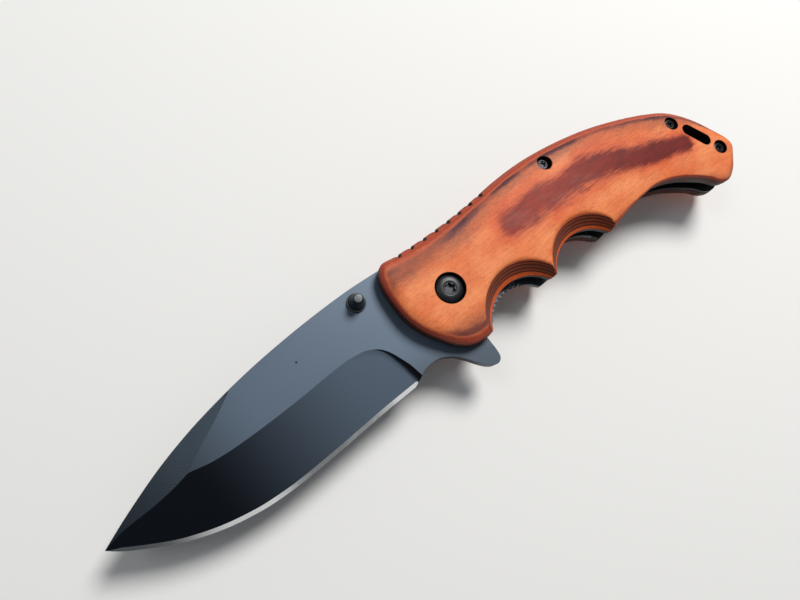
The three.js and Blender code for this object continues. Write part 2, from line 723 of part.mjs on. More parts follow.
function clipPlan(length, grow) {
  const half = clipWidth / 2 + grow;
  const tipHalf = half - 1.2;
  const shape = new THREE.Shape();
  shape.moveTo(2 - grow, -half);
  shape.lineTo(18, -half);
  shape.lineTo(length - 3.5, -tipHalf);
  shape.quadraticCurveTo(length, -tipHalf, length, 0);
  shape.quadraticCurveTo(length, tipHalf, length - 3.5, tipHalf);
  shape.lineTo(18, half);
  shape.lineTo(2 - grow, half);
  shape.quadraticCurveTo(-grow, half, -grow, half - 2);
  shape.lineTo(-grow, 2 - half);
  shape.quadraticCurveTo(-grow, -half, 2 - grow, -half);
  return plate(shape.getPoints(6), -40, 40);
}

function clipSolid() {
  const base = clipSeat + clipThickness / 2;
  const arm = base + clipStandoff;
  const bend = new THREE.CurvePath();
  const line = (u0, z0, u1, z1) => bend.add(new THREE.LineCurve(point(u0, z0), point(u1, z1)));
  const ease = (u0, z0, u1, z1, u2, z2) => (
    bend.add(new THREE.QuadraticBezierCurve(point(u0, z0), point(u1, z1), point(u2, z2)))
  );
  const touch = scaleTop + 0.35 + clipThickness / 2;
  const [armEnd, dipStart, dipEnd, touchStart, touchPlace, lipStart] = (
    [22, 19, 16, 11, 8, 5].map((back) => clipLength - back)
  );
  line(0, base, 16, base);
  ease(16, base, 18, base, 19.5, lerp(base, arm, 0.3));
  line(19.5, lerp(base, arm, 0.3), 22.5, lerp(base, arm, 0.85));
  ease(22.5, lerp(base, arm, 0.85), 23.5, arm, 26, arm);
  line(26, arm, armEnd, arm);
  ease(armEnd, arm, dipStart, arm, dipEnd, lerp(arm, touch, 0.35));
  line(dipEnd, lerp(arm, touch, 0.35), touchStart, lerp(arm, touch, 0.85));
  ease(touchStart, lerp(arm, touch, 0.85), touchPlace, touch - 0.1, lipStart, lerp(arm, touch, 0.75));
  line(lipStart, lerp(arm, touch, 0.75), clipLength, lerp(arm, touch, 0.15));
  const middle = bend.curves.flatMap((curve, i) => {
    const list = curve.getPoints(curve.isLineCurve ? 1 : 5);
    return i ? list.slice(1) : list;
  });
  const edge = (offset) => middle.map((p, i) => {
    const before = middle[max(i - 1, 0)];
    const after = middle[min(i + 1, middle.length - 1)];
    const across = point(before.y - after.y, after.x - before.x).normalize();
    return point(p.x + across.x * offset, p.y + across.y * offset);
  });
  const outline = [...edge(-clipThickness / 2), ...edge(clipThickness / 2).reverse()];
  const options = { depth: 2 * clipWidth, bevelEnabled: false };
  const strip = new THREE.ExtrudeGeometry(new THREE.Shape(outline), options);
  strip.translate(0, 0, -clipWidth).rotateX(PI / 2);
  const holes = clipScrewInsets.map((u) => rod(u, 0, screwRadius + fastenerGap, 0, 40, 16));
  return reflected(layClip(cut(solidOf(strip).intersect(clipPlan(clipLength, 0)), holes)));
}

function rearScaleSolid() {
  const pocketEnd = 21;
  const pocket = plate(rectangle(-2, -clipWidth, pocketEnd, clipWidth), clipSeat, 40);
  const seat = layClip(pocket.intersect(clipPlan(clipLength, seatGap)));
  const holes = clipScrewPlaces.map(({ x, y }) => rod(x, y, screwRadius + fastenerGap, 0, 40, 16));
  return reflected(cut(scaleSolid(rearGrooveUpright), [seat, ...holes]));
}

// Finishes

const finish = (name, color, roughness, metalness) => (
  new THREE.MeshStandardMaterial({ name, color, roughness, metalness })
);
const finishes = {
  blade: finish("coated blade steel", 0x4a525b, 0.42, 0.75),
  wood: finish("stained laminated wood", 0xd9713a, 0.48, 0),
  liner: finish("blackened steel", 0x17181a, 0.5, 0.8),
  lock: finish("bare spring steel", 0x8d9094, 0.38, 0.9),
  hardware: finish("black screws", 0x151618, 0.42, 0.85),
  washer: finish("bronze washers", 0xb38a4a, 0.4, 0.9),
  spacer: finish("black backspacer", 0x1a1b1d, 0.6, 0.1),
};

// Assembly

const knife = new THREE.Group();
const handle = new THREE.Group();
const foldingBlade = new THREE.Group();
const sprungLock = new THREE.Group();
knife.add(handle, foldingBlade, sprungLock);

function place(parent, name, solid, material, x = 0, y = 0) {
  const mesh = new THREE.Mesh(geometryOf(solid), material.clone());
  mesh.name = name;
  mesh.position.set(x, y, 0);
  parent.add(mesh);
}

place(handle, "front_scale", scaleSolid(0), finishes.wood);
place(handle, "rear_scale", rearScaleSolid(), finishes.wood);
place(handle, "front_liner", linerSolid(), finishes.liner);
place(handle, "rear_liner", rearLinerSolid(), finishes.liner);
place(handle, "backspacer", backspacerSolid(), finishes.spacer);
const stopPin = rod(0, 0, stopPinRadius, -linerOutside, linerOutside, 20);
place(handle, "stop_pin", stopPin, finishes.lock, stopPinX, stopPinY);
place(handle, "front_washer", washerSolid(), finishes.washer);
place(handle, "rear_washer", reflected(washerSolid()), finishes.washer);
place(handle, "pivot_barrel", pivotBarrelSolid(), finishes.hardware);
place(handle, "pivot_screw", pivotScrewSolid(), finishes.hardware);
const bodyScrew = screwSolid(screwSeat, seatGap);
for (const { name, x, y } of screwPlaces) {
  place(handle, `front_${name}_screw`, bodyScrew, finishes.hardware, x, y);
  place(handle, `rear_${name}_screw`, reflected(bodyScrew), finishes.hardware, x, y);
}
place(handle, "pocket_clip", clipSolid(), finishes.liner);
const clipScrew = reflected(screwSolid(clipSeat + clipThickness, linerInside + seatGap));
clipScrewPlaces.forEach(({ x, y }, i) => {
  place(handle, `clip_screw_${i + 1}`, clipScrew, finishes.hardware, x, y);
});

place(foldingBlade, "blade", bladeSolid(), finishes.blade);
place(foldingBlade, "thumb_stud_front", thumbStud(true), finishes.hardware, studX, studY);
place(foldingBlade, "thumb_stud_rear", thumbStud(false), finishes.hardware, studX, studY);

place(sprungLock, "lock_bar", lockBarSolid(), finishes.lock);
sprungLock.position.set(lockBarRootX, 0, -linerInside - linerThickness / 2);
sprungLock.rotation.y = lockSpringAngle;

knife.updateMatrixWorld(true);
const bounds = new THREE.Box3().setFromObject(knife, true);
const middle = bounds.getCenter(new THREE.Vector3());
knife.position.set(-middle.x, -middle.y, -bounds.min.z);
knife.updateMatrixWorld(true);

export default knife;
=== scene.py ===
# %% [markdown]
# A folding pocket knife, lying open on its rear side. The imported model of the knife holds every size, place
# and joint, so it is loaded first, as a fixed frame. Every piece made here is drawn in millimetres from the
# pivot's axis and the blade's mid-plane, as a knife maker would draw it, and then moved into that frame.

# %% Load the frame
import json
import math

import bmesh
import bpy
import numpy as np
from mathutils import Matrix, Vector
from mathutils.geometry import delaunay_2d_cdt

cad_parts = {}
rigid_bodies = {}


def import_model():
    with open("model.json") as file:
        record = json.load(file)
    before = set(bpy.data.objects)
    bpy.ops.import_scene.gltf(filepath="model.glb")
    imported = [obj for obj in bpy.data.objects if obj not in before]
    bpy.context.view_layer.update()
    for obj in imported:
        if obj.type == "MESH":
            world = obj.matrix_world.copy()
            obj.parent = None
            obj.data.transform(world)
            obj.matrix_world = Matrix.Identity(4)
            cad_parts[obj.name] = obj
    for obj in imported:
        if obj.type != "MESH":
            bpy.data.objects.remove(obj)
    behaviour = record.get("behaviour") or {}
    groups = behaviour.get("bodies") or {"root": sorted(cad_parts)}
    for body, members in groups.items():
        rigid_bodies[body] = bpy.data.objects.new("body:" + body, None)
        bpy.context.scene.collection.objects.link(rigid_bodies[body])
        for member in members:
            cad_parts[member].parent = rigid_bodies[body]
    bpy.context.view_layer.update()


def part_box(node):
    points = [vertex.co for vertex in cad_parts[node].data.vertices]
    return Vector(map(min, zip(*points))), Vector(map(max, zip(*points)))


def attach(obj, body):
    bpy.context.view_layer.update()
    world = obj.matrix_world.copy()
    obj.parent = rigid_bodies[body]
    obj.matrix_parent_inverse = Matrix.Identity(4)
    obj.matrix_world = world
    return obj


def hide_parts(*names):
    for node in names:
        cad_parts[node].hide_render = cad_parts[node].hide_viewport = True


for left_over in list(bpy.data.objects):
    bpy.data.objects.remove(left_over)
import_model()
MM = 0.001


def middle_of(node):
    low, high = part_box(node)
    return (low + high) / 2


PIVOT = Vector((*middle_of("pivot_screw").xy, middle_of("blade").z))
print("pivot's axis and the blade's mid-plane at", [round(v / MM, 2) for v in PIVOT], "mm")

# %% [markdown]
# The photograph was taken from close above the blade, so its perspective is strong: the blade, which is
# nearer to the lens, looks larger beside the handle than it is. The camera stands where the outlines of
# blade and handle fit best. Two of its axes are given as directions, because the picture is also turned
# about the line of sight.

# %% Camera
CAMERA_PLACE = Vector((-60.36, -4.88, 157.36)) * MM
CAMERA_RIGHT = Vector((0.76701, -0.6143, 0.18527))
CAMERA_BACK = Vector((-0.30407, -0.09375, 0.94803))
LENS = 26.55
SENSOR = 36

camera_up = CAMERA_BACK.cross(CAMERA_RIGHT)
turn = Matrix((CAMERA_RIGHT, camera_up, CAMERA_BACK)).transposed()
camera = bpy.data.objects.new("camera", bpy.data.cameras.new("camera"))
camera.data.lens = LENS
camera.data.sensor_width = SENSOR
camera.data.clip_start = 0.005
camera.data.clip_end = 20
camera.matrix_world = Matrix.Translation(CAMERA_PLACE) @ turn.to_4x4()
bpy.context.scene.collection.objects.link(camera)
bpy.context.scene.camera = camera
bpy.context.scene.view_settings.view_transform = "Standard"
print("camera", round(CAMERA_PLACE.z / MM), "mm above the floor")

# %% [markdown]
# A material in Blender is a graph of nodes. Written out link by link, even a simple formula takes a page,
# so this small class wraps one output socket and gives it the usual operators. An expression on numbers
# then adds its own Math nodes. Any other node comes from one method, which takes the node's type, its
# settings and the values or links of its inputs.

# %% Shader helper
class Wire:
    """One output socket of a material's graph, with arithmetic."""

    def __init__(self, tree, socket=None):
        self.tree = tree
        self.socket = socket

    def node(self, kind, settings=None, output=0, **inputs):
        """A new node. Its inputs go by their names, with _ for a space, or by _ and a number."""
        made = self.tree.nodes.new(kind)
        for name, value in (settings or {}).items():
            setattr(made, name, value)
        for name, value in inputs.items():
            key = int(name[1:]) if name[0] == "_" else name.replace("_", " ")
            self.feed(made.inputs[key], value)
        return Wire(self.tree, made.outputs[output])

    def feed(self, socket, value):
        """Links a wire to a socket, or sets a plain value on it."""
        if isinstance(value, Wire):
            self.tree.links.new(value.socket, socket)
        elif hasattr(socket.default_value, "__len__") and len(socket.default_value) == 4:
            socket.default_value = (*value, 1)
        else:
            socket.default_value = value

    def math(self, operation, *values, clamp=False):
        settings = {"operation": operation, "use_clamp": clamp}
        return self.node("ShaderNodeMath", settings, **{f"_{i}": v for i, v in enumerate(values)})

    def __add__(self, other):
        return self.math("ADD", self, other)

    def __radd__(self, other):
        return self.math("ADD", other, self)

    def __sub__(self, other):
        return self.math("SUBTRACT", self, other)

    def __rsub__(self, other):
        return self.math("SUBTRACT", other, self)

    def __mul__(self, other):
        return self.math("MULTIPLY", self, other)

    def __rmul__(self, other):
        return self.math("MULTIPLY", other, self)

    def __truediv__(self, other):
        return self.math("DIVIDE", self, other)

    def clamp(self):
        return self.math("ADD", self, 0, clamp=True)

    def maximum(self, other):
        return self.math("MAXIMUM", self, other)

    def sine(self):
        return self.math("SINE", self)

    def step(self, low, high):
        """A smooth step from 0 at low to 1 at high, which may be below low."""
        return self.node("ShaderNodeMapRange", {"interpolation_type": "SMOOTHSTEP"},
                         Value=self, From_Min=low, From_Max=high)

    def mix(self, low, high):
        """The colour low where this value is 0, and high where it is 1."""
        return self.node("ShaderNodeMix", {"data_type": "RGBA"}, output=2, _0=self, _6=low, _7=high)

    def times(self, factor):
        """This colour or vector, multiplied by three numbers, one for each channel."""
        return self.node("ShaderNodeVectorMath", {"operation": "MULTIPLY"}, _0=self, _1=factor)

    def ramp(self, stops):
        """The colour that this value picks from a ramp of (place, colour) pairs."""
        made = self.node("ShaderNodeValToRGB", Fac=self)
        elements = made.socket.node.color_ramp.elements
        while len(elements) < len(stops):
            elements.new(0.5)
        for element, (place, color) in zip(elements, stops):
            element.position = place
            element.color = (*color, 1)
        return made


def paint(red, green, blue):
    """A colour given in the 0 to 255 steps of a picture, as light."""
    steps = [value / 255 for value in (red, green, blue)]
    return tuple(s / 12.92 if s <= 0.04045 else ((s + 0.055) / 1.055) ** 2.4 for s in steps)


def new_material(name, **constants):
    """The graph of a new material. The constants are set on the sockets of its Principled shader."""
    material = bpy.data.materials.new(name)
    material.use_nodes = True
    start = Wire(material.node_tree)
    start.material = material
    start.shader = material.node_tree.nodes["Principled BSDF"]
    for key, value in constants.items():
        start.feed(start.shader.inputs[key.replace("_", " ")], value)
    start.place = start.node("ShaderNodeTexCoord", output="Object")
    return start


def noise(start, stretch, size_mm, detail=3, roughness=0.5, distortion=0.0):
    """Noise in the piece's own millimetres, drawn out along the axes by stretch."""
    place = start.place.times([1 / (MM * size_mm * s) for s in stretch])
    return start.node("ShaderNodeTexNoise", Vector=place, Scale=1.0, Detail=detail,
                      Roughness=roughness, Distortion=distortion)


def stored(start, name):
    """A number that the piece keeps for each of its points."""
    return start.node("ShaderNodeAttribute", {"attribute_name": name}, output="Fac")


def from_pivot(start, axis="X"):
    """A coordinate in millimetres from the pivot's axis."""
    place = start.node("ShaderNodeSeparateXYZ", output=axis, Vector=start.place)
    return place / MM - PIVOT["XYZ".index(axis)] / MM


def finish(start, color, roughness, height, strength, depth_mm):
    """Feeds the shader its colour, its roughness and a fine relief of at most depth_mm."""
    normal = start.node("ShaderNodeBump", Height=height, Strength=strength, Distance=depth_mm * MM)
    for name, value in (("Base Color", color), ("Roughness", roughness), ("Normal", normal)):
        start.feed(start.shader.inputs[name], value)
    return start.material


print("shader helper ready")

# %% [markdown]
# The stage is a plain pale floor under soft studio light. The key lamp stands high beyond the spine and
# towards the butt, which throws the thumb stud's shadow forward and down, and its large face keeps every
# shadow soft. A weak, cool lamp on the spine's side of the point draws the gleam on the domed pivot.

# %% Floor, lamps and world
FLOOR_SIZE = 6.0
FLOOR_DROP = 0.0002
FLOOR_COLOR = (0.86, 0.86, 0.85)
ROOM_COLOR = (0.93, 0.96, 1)
ROOM_LIGHT = 0.18  # the camera sees the room at full strength, and the knife is lit by this share


def soft_lamp(name, place, size, watts, color):
    """A round lamp that looks at the knife."""
    lamp = bpy.data.objects.new(name, bpy.data.lights.new(name, "AREA"))
    lamp.data.shape = "DISK"
    lamp.data.size = size
    lamp.data.energy = watts
    lamp.data.color = color
    lamp.location = place
    lamp.rotation_euler = (-Vector(place)).to_track_quat("-Z", "Y").to_euler()
    bpy.context.scene.collection.objects.link(lamp)


half = FLOOR_SIZE / 2
corners = [(x * half, y * half, 0) for x, y in ((-1, -1), (1, -1), (1, 1), (-1, 1))]
floor = bpy.data.objects.new("floor", bpy.data.meshes.new("floor"))
floor.data.from_pydata(corners, [], [(0, 1, 2, 3)])
floor.data.materials.append(new_material("floor", Roughness=0.85, Base_Color=FLOOR_COLOR).material)
floor.location.z = -FLOOR_DROP
bpy.context.scene.collection.objects.link(floor)

soft_lamp("key_lamp", (0.56, 0.3, 0.82), 0.42, 10.4, (1, 0.98, 0.95))
soft_lamp("fill_lamp", (-0.3, 0.45, 0.85), 0.4, 0.8, (0.92, 0.97, 1))

world = bpy.data.worlds.new("studio")
world.use_nodes = True
bpy.context.scene.world = world
surround = Wire(world.node_tree)
seen = surround.node("ShaderNodeLightPath", output="Is Camera Ray")
background = world.node_tree.nodes["Background"]
surround.feed(background.inputs["Color"], ROOM_COLOR)
surround.feed(background.inputs["Strength"], ROOM_LIGHT + seen * (1 - ROOM_LIGHT))

# %% [markdown]
# Flat steel parts and sculpted wood share the same outlines, so the curves come first. A smooth curve
# through a few given points is enough for each. The open ones run along the blade and the closed one
# goes round the handle. All of them are in millimetres, with the pivot at the origin.

# %% Curves
def arc(start, end, steps, reach, centre=(0, 0)):
    """Points round a centre between two angles. The reach is a radius, or a pair for an ellipse."""
    angles = np.linspace(start, end, steps)
    return np.array(centre) + np.array(reach) * np.column_stack((np.cos(angles), np.sin(angles)))


def open_spline(points, steps=12):
    """A Catmull-Rom curve through the points, with the given steps between two of them."""
    p = np.array(points, float)
    p = np.vstack((p[:1], p, p[-1:]))
    t = np.linspace(0, 1, steps, endpoint=False)[:, None]
    spans = [0.5 * (2 * b + (c - a) * t + (2 * a - 5 * b + 4 * c - d) * t**2
                    + (3 * b - a - 3 * c + d) * t**3)
             for a, b, c, d in zip(p, p[1:], p[2:], p[3:])]
    return np.vstack((*spans, p[-1:]))


def closed_spline(points, steps=10):
    """A centripetal curve round the points: it never swings out between close points."""
    p = np.array(points, float)
    t = np.linspace(0, 1, steps, endpoint=False)[:, None]
    spans = []
    for i in range(len(p)):
        a, b, c, d = (p[(i + k) % len(p)] for k in (-1, 0, 1, 2))
        s0, s1, s2 = (math.sqrt(math.dist(*ends)) for ends in ((a, b), (b, c), (c, d)))
        start = ((b - a) / s0 - (c - a) / (s0 + s1) + (c - b) / s1) * s1
        end = ((c - b) / s1 - (d - b) / (s1 + s2) + (d - c) / s2) * s1
        spans.append(b + start * t + (3 * (c - b) - 2 * start - end) * t**2
                     + (2 * (b - c) + start + end) * t**3)
    return np.vstack(spans)


def reader(points):
    """The height of an open curve that runs steadily along X, read at any x."""
    line = open_spline(points, 40)
    line = line[np.argsort(line[:, 0])]
    return lambda x: np.interp(x, line[:, 0], line[:, 1])


HANDLE_POINTS = [
    (-10.2, 15.5), (-12.1, 13.9), (-13.5, 10.5), (-14, 5), (-13.7, 0), (-12.2, -4.6), (-9.7, -8.8),
    (-6.7, -12.6), (-3.6, -14.9), (0.1, -15.7), (4, -15.3), (12, -14.6), (27, -14.3), (42, -14.3),
    (51.6, -14.2), (55, -13.6), (60, -12.6), (66, -12.1), (71, -12.1), (75.5, -13.1), (80, -14.9),
    (84.5, -17.6), (88.5, -20.6), (91, -23.3), (94, -24.4), (97.3, -23.4), (101.2, -20.2),
    (103.9, -16.9), (104.1, -14.2), (102.6, -10.2), (99.8, -4.4), (96.5, 0.2), (92.3, 4), (86, 7.1),
    (78, 10.1), (68, 13.1), (58, 15.2), (48, 16.5), (40, 16.95), (31, 16.65), (22, 15.75), (12, 15.1),
    (2, 15), (-6, 15.25),
]
handle_line = closed_spline(HANDLE_POINTS)


def outward(line):
    """Unit normals that point out of a line that runs counterclockwise."""
    along = np.roll(line, -1, axis=0) - np.roll(line, 1, axis=0)
    along /= np.linalg.norm(along, axis=1)[:, None]
    return np.column_stack((along[:, 1], -along[:, 0]))


handle_normals = outward(handle_line)


def inset(distance):
    """The handle's outline, drawn in by a distance or by a list of them."""
    return handle_line - handle_normals * np.reshape(distance, (-1, 1))


def nearest(points, line, closed=True):
    """Distance from each point to a line, and the number of the line's stretch that is nearest."""
    ends = np.roll(line, -1, axis=0) if closed else line[1:]
    starts = line if closed else line[:-1]
    best = np.full(len(points), np.inf)
    where = np.zeros(len(points), int)
    for i, (a, b) in enumerate(zip(starts, ends)):
        share = np.clip((points - a) @ (b - a) / max((b - a) @ (b - a), 1e-12), 0, 1)
        gap = np.hypot(*(points - a - share[:, None] * (b - a)).T)
        closer = gap < best
        best[closer], where[closer] = gap[closer], i
    return best, where


def within(points, loop):
    """Which points lie inside a closed loop."""
    inside = np.zeros(len(points), bool)
    x, y = points.T
    for (ax, ay), (bx, by) in zip(loop, np.roll(loop, -1, axis=0)):
        crosses = (ay > y) != (by > y)
        inside ^= crosses & (x < (bx - ax) * (y - ay) / ((by - ay) or 1e-12) + ax)
    return inside


print("handle outline:", len(handle_line), "points,", round(np.ptp(handle_line[:, 0]), 1), "mm long")

# %% [markdown]
# Most pieces are one of three things on the bench: a sheet sawn to an outline, a part turned in a lathe, or
# a block that something else is cut out of. Each gets one helper here. Cuts use Blender's exact Boolean
# modifier, and a Bevel modifier then breaks the sharp corners, because no real edge is perfectly sharp and
# it is the broken edge that catches the light.

# %% Sheets, turned parts and cuts
THROUGH = 12  # sheets and rods reach this far unless told otherwise, past either face of the knife


def mesh_object(name, points, faces):
    """A mesh in the frame from points in millimetres round the pivot."""
    mesh = bpy.data.meshes.new(name)
    mesh.from_pydata((np.array(points, float) * MM + np.array(PIVOT)).tolist(), [], faces)
    mesh.validate()
    made = bpy.data.objects.new(name, mesh)
    bpy.context.scene.collection.objects.link(made)
    return made


def local(made):
    """The points of a piece, back in millimetres round the pivot."""
    flat = np.zeros(len(made.data.vertices) * 3, np.float32)
    made.data.vertices.foreach_get("co", flat)
    return (flat.reshape(-1, 3).astype(float) - np.array(PIVOT)) / MM


def sheet(name, outline, low=-THROUGH, high=THROUGH):
    """A sawn sheet with the given outline."""
    n = len(outline)
    points = [(x, y, z) for z in (low, high) for x, y in outline]
    sides = [(i, (i + 1) % n, n + (i + 1) % n, n + i) for i in range(n)]
    return mesh_object(name, points, [tuple(range(n))[::-1], tuple(range(n, 2 * n)), *sides])


def turned(name, profile, place=(0, 0), segments=64):
    """A part turned about Z from (radius, height) pairs that start and end on the axis."""
    points, rings = [], []
    for radius, height in profile:
        count = segments if radius > 0 else 1
        angles = 2 * math.pi * np.arange(count) / count
        rings.append(range(len(points), len(points) + count))
        points += [(place[0] + radius * math.cos(a), place[1] + radius * math.sin(a), height)
                   for a in angles]
    faces = []
    for low, high in zip(rings, rings[1:]):
        for i in range(segments):
            corners = ((low, i), (low, i + 1), (high, i + 1), (high, i))
            face = list(dict.fromkeys(ring[k % len(ring)] for ring, k in corners))
            if len(face) > 2:
                faces.append(face)
    return mesh_object(name, points, faces)


def rod(place, radius, low=-THROUGH, high=THROUGH, segments=64):
    return turned("rod", [(0, low), (radius, low), (radius, high), (0, high)], place, segments)


def join(pieces):
    """One object that holds the meshes of several."""
    points = np.vstack([local(piece) for piece in pieces])
    faces, start = [], 0
    for piece in pieces:
        faces += [[start + v for v in face.vertices] for face in piece.data.polygons]
        start += len(piece.data.vertices)
        bpy.data.objects.remove(piece)
    return mesh_object("cutters", points, faces)


def settle(made):
    """Applies what the modifiers make of a piece."""
    result = made.evaluated_get(bpy.context.evaluated_depsgraph_get())
    mesh = bpy.data.meshes.new_from_object(result)
    made.modifiers.clear()
    made.data = mesh
    return made


def smooth(made, angle=30):
    """Smooth shading, but for edges that turn by more than the angle."""
    made.data.shade_smooth()
    made.data.set_sharp_from_angle(angle=math.radians(angle))
    return made


def combine(made, others, operation="DIFFERENCE"):
    """Cuts the other pieces out of this one, or joins them to it, or keeps what they share."""
    tool = join(others)
    change = made.modifiers.new("combine", "BOOLEAN")
    change.object = tool
    change.operation = operation
    change.solver = "EXACT"
    settle(made)
    bpy.data.objects.remove(tool)
    return made


def soften(made, width_mm, segments=2, angle=30):
    """Breaks the corners of a piece and smooths what is round."""
    change = made.modifiers.new("broken edges", "BEVEL")
    change.width = width_mm * MM
    change.segments = segments
    change.limit_method = "ANGLE"
    change.angle_limit = math.radians(angle)
    change.harden_normals = True
    return settle(smooth(made, angle))


def mirror(made):
    """The same piece on the other side of the blade."""
    points = local(made)
    points[:, 2] *= -1
    made.data.vertices.foreach_set("co", (points * MM + np.array(PIVOT)).astype(np.float32).ravel())
    made.data.flip_normals()
    return made


def store(made, name, values):
    """Keeps a number for each point of a piece, where its material can read it."""
    attribute = made.data.attributes.new(name, "FLOAT", "POINT")
    attribute.data.foreach_set("value", np.asarray(values, np.float32))


def finish_piece(made, name, node, material=None, body="handle"):
    """Names a piece, gives it its material, and lets it stand for its node of the frame."""
    made.name = name
    made.data.name = name
    if material:
        made.data.materials.append(material)
    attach(made, body)
    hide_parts(node)
    print(f"{name}: {len(made.data.polygons)} faces")


print("helpers for sheets, turned parts and cuts ready")

# %% [markdown]
# The sculpted pieces are height fields: over every place of the outline, the outer face has exactly one
# height. A Delaunay triangulation joins the outline, the lines that must stay crisp and a cloud of points
# in between into one clean skin. The points are set denser where the face turns quickly.

# %% Height fields
def hexagonal(low, high, spacing):
    """Evenly spread points over a rectangle."""
    rows = np.arange(low[1], high[1], spacing * math.sqrt(3) / 2)
    columns = np.arange(low[0], high[0], spacing)
    return np.array([(x + (spacing / 2) * (i % 2), y) for i, y in enumerate(rows) for x in columns])


def thinned(points, spacing):
    """Drops points that share a small square with an earlier one."""
    _, first = np.unique(np.round(points / spacing).astype(int), axis=0, return_index=True)
    return points[np.sort(first)]


def trimmed(line, outline):
    """The part of an open line inside an outline, with its ends brought onto the outline."""
    inside = np.flatnonzero(within(line, outline))
    kept = line[inside[0]: inside[-1] + 1]
    for out, end in ((inside[0] - 1, 0), (inside[-1] + 1, -1)):
        if not 0 <= out < len(line):
            continue
        near, far = line[inside[end]], line[out]
        for _ in range(30):
            middle = (near + far) / 2
            near, far = (middle, far) if within(middle[None], outline)[0] else (near, middle)
        kept = np.vstack((near, kept) if end == 0 else (kept, near))
    return kept


def skin(outline, lines, cloud, margin):
    """Points and triangles over an outline. The lines become edges, and the cloud keeps off them."""
    fixed = [trimmed(np.array(line, float), outline) for line in lines]
    cloud = cloud[within(cloud, outline)]
    for line, closed in [(outline, True), *((line, False) for line in fixed)]:
        cloud = cloud[nearest(cloud, line, closed)[0] > margin]
    points = np.vstack([outline, *fixed, cloud])
    edges = [(i, (i + 1) % len(outline)) for i in range(len(outline))]
    start = len(outline)
    for line in fixed:
        edges += [(start + i, start + i + 1) for i in range(len(line) - 1)]
        start += len(line)
    found = delaunay_2d_cdt([Vector(p) for p in points], edges, [], 1, 1e-3)
    return np.array([tuple(p) for p in found[0]]), np.array(found[2])


def rim_of(triangles):
    """The corners of a skin's outer rim, in order."""
    edges = {(a, b) for tri in triangles.tolist() for a, b in zip(tri, tri[1:] + tri[:1])}
    after = {a: b for a, b in edges if (b, a) not in edges}
    loop = [min(after)]
    for _ in range(len(after) - 1):
        loop.append(after[loop[-1]])
    assert after[loop[-1]] == loop[0] and len(set(loop)) == len(loop), "the rim isn't one loop"
    return loop


def solid_under(name, points, triangles, heights, base):
    """A closed solid between a height field and a flat base."""
    rim = rim_of(triangles)
    n, count = len(points), len(rim)
    top = np.column_stack((points, heights))
    bottom = np.column_stack((points[rim], np.full(count, base)))
    walls = [[rim[i], n + i, n + (i + 1) % count, rim[(i + 1) % count]] for i in range(count)]
    under = [n + i for i in range(count)][::-1]
    return mesh_object(name, np.vstack((top, bottom)), [*triangles.tolist(), *walls, under])


print("height field helpers ready")

# %% [markdown]
# The knife's main sizes are driving values here too. The levels of the sheets are counted out from the
# blade's mid-plane: half the blade, a washer, a liner, and then the wood.

# %% Sizes
BLADE_FACE = 1.5
LINER_INSIDE = 1.9
LINER_OUTSIDE = 3.2
SCALE_TOP = 7.6
CROWN_RADIUS = 110
CROWN_SLACK = 0.045  # keeps the smooth crown inside the frame's faceted one
SAG_START = 45  # where the crown starts to fall towards the tail
SAG_RADIUS = 1400
EDGE_ROUNDING = 4
EDGE_DROP = 2.3
BELLY_ROUNDING = 0.8
BELLY_FRONT, BELLY_REAR, BELLY_TOP = 61, 94, -10
GROOVE_LEAN = math.tan(math.radians(37))
GROOVE_FLARE = 0.28
RIM_BLEND = 0.55
THINNEST_WOOD = 0.12
GROOVES = [((15.3, -21.2), 13), ((39.7, -21.15), 12.7)]
UPRIGHT = {"front": 0, "rear": 3}  # height of the grooves' walls that doesn't lean
SCREWS = {"spine": (46.1, 12.25), "butt": (90, -0.4), "tail": (98.6, -15.1)}
SCREW_SEAT = 4.6
SCREW_HOLE = 1.22
SCREW_HEAD_RADIUS = 1.95
HEAD_GAP = 0.2
LANYARD_ENDS = ((93.1, -5), (95.8, -10.5))
LANYARD_RADIUS = 1.8
HEAD_RADIUS = 3.95
HEAD_HEIGHT = 3.9
PIVOT_HOLE_RADIUS = 4.15
PIVOT_BORE = 2.58
STUD_PLACE = (-20.5, 11.8)
STUD_STEM = 1.1

top_edge = reader([(-20, 15), (10, 15.1), (40, 17), (60, 14.9), (80, 9.6), (95, 2.5), (112, -13)])
low_edge = reader([(-20, -14), (10, -15), (50, -14), (66, -12.1), (80, -14.9), (95, -24.4), (112, -35)])


def bite(line, centre, radius, steps=44):
    """A counterclockwise line with a round bite taken out of it."""
    away = np.hypot(*(line - centre).T) - radius
    start = int(np.argmax((away < 0) & (np.roll(away, 1) >= 0)))
    line, away = np.roll(line, -start, axis=0), np.roll(away, -start)
    count = int(np.argmax(away >= 0))

    def crossing(i, j):
        share = away[i] / (away[i] - away[j])
        return line[i] + (line[j] - line[i]) * share

    ends = [crossing(-1, 0), crossing(count - 1, count)]
    first, last = (math.atan2(*(end - centre)[::-1]) for end in ends)
    if last > first:
        last -= 2 * math.pi
    return np.vstack((arc(first, last, steps, radius, centre), line[count:]))


def handle_sheet(distance):
    """The outline of a sheet of the handle, drawn in, with the finger grooves bitten out."""
    line = inset(distance)
    for centre, radius in GROOVES:
        line = bite(line, np.array(centre), radius)
    return line


def slot_cutter():
    """The lanyard slot: a sheet with two round ends."""
    a, b = (np.array(end) for end in LANYARD_ENDS)
    heading = math.atan2(*(b - a)[::-1])
    ends = [arc(start, start + math.pi, 24, LANYARD_RADIUS, end)
            for end, start in ((b, heading - math.pi / 2), (a, heading + math.pi / 2))]
    return sheet("slot", np.vstack(ends))


def screw_holes(places, low=-THROUGH, high=THROUGH):
    """Cutters for plain screw holes."""
    return [rod(place, SCREW_HOLE, low, high, 32) for place in places]


print("scale's outline:", len(handle_sheet(0)), "points")

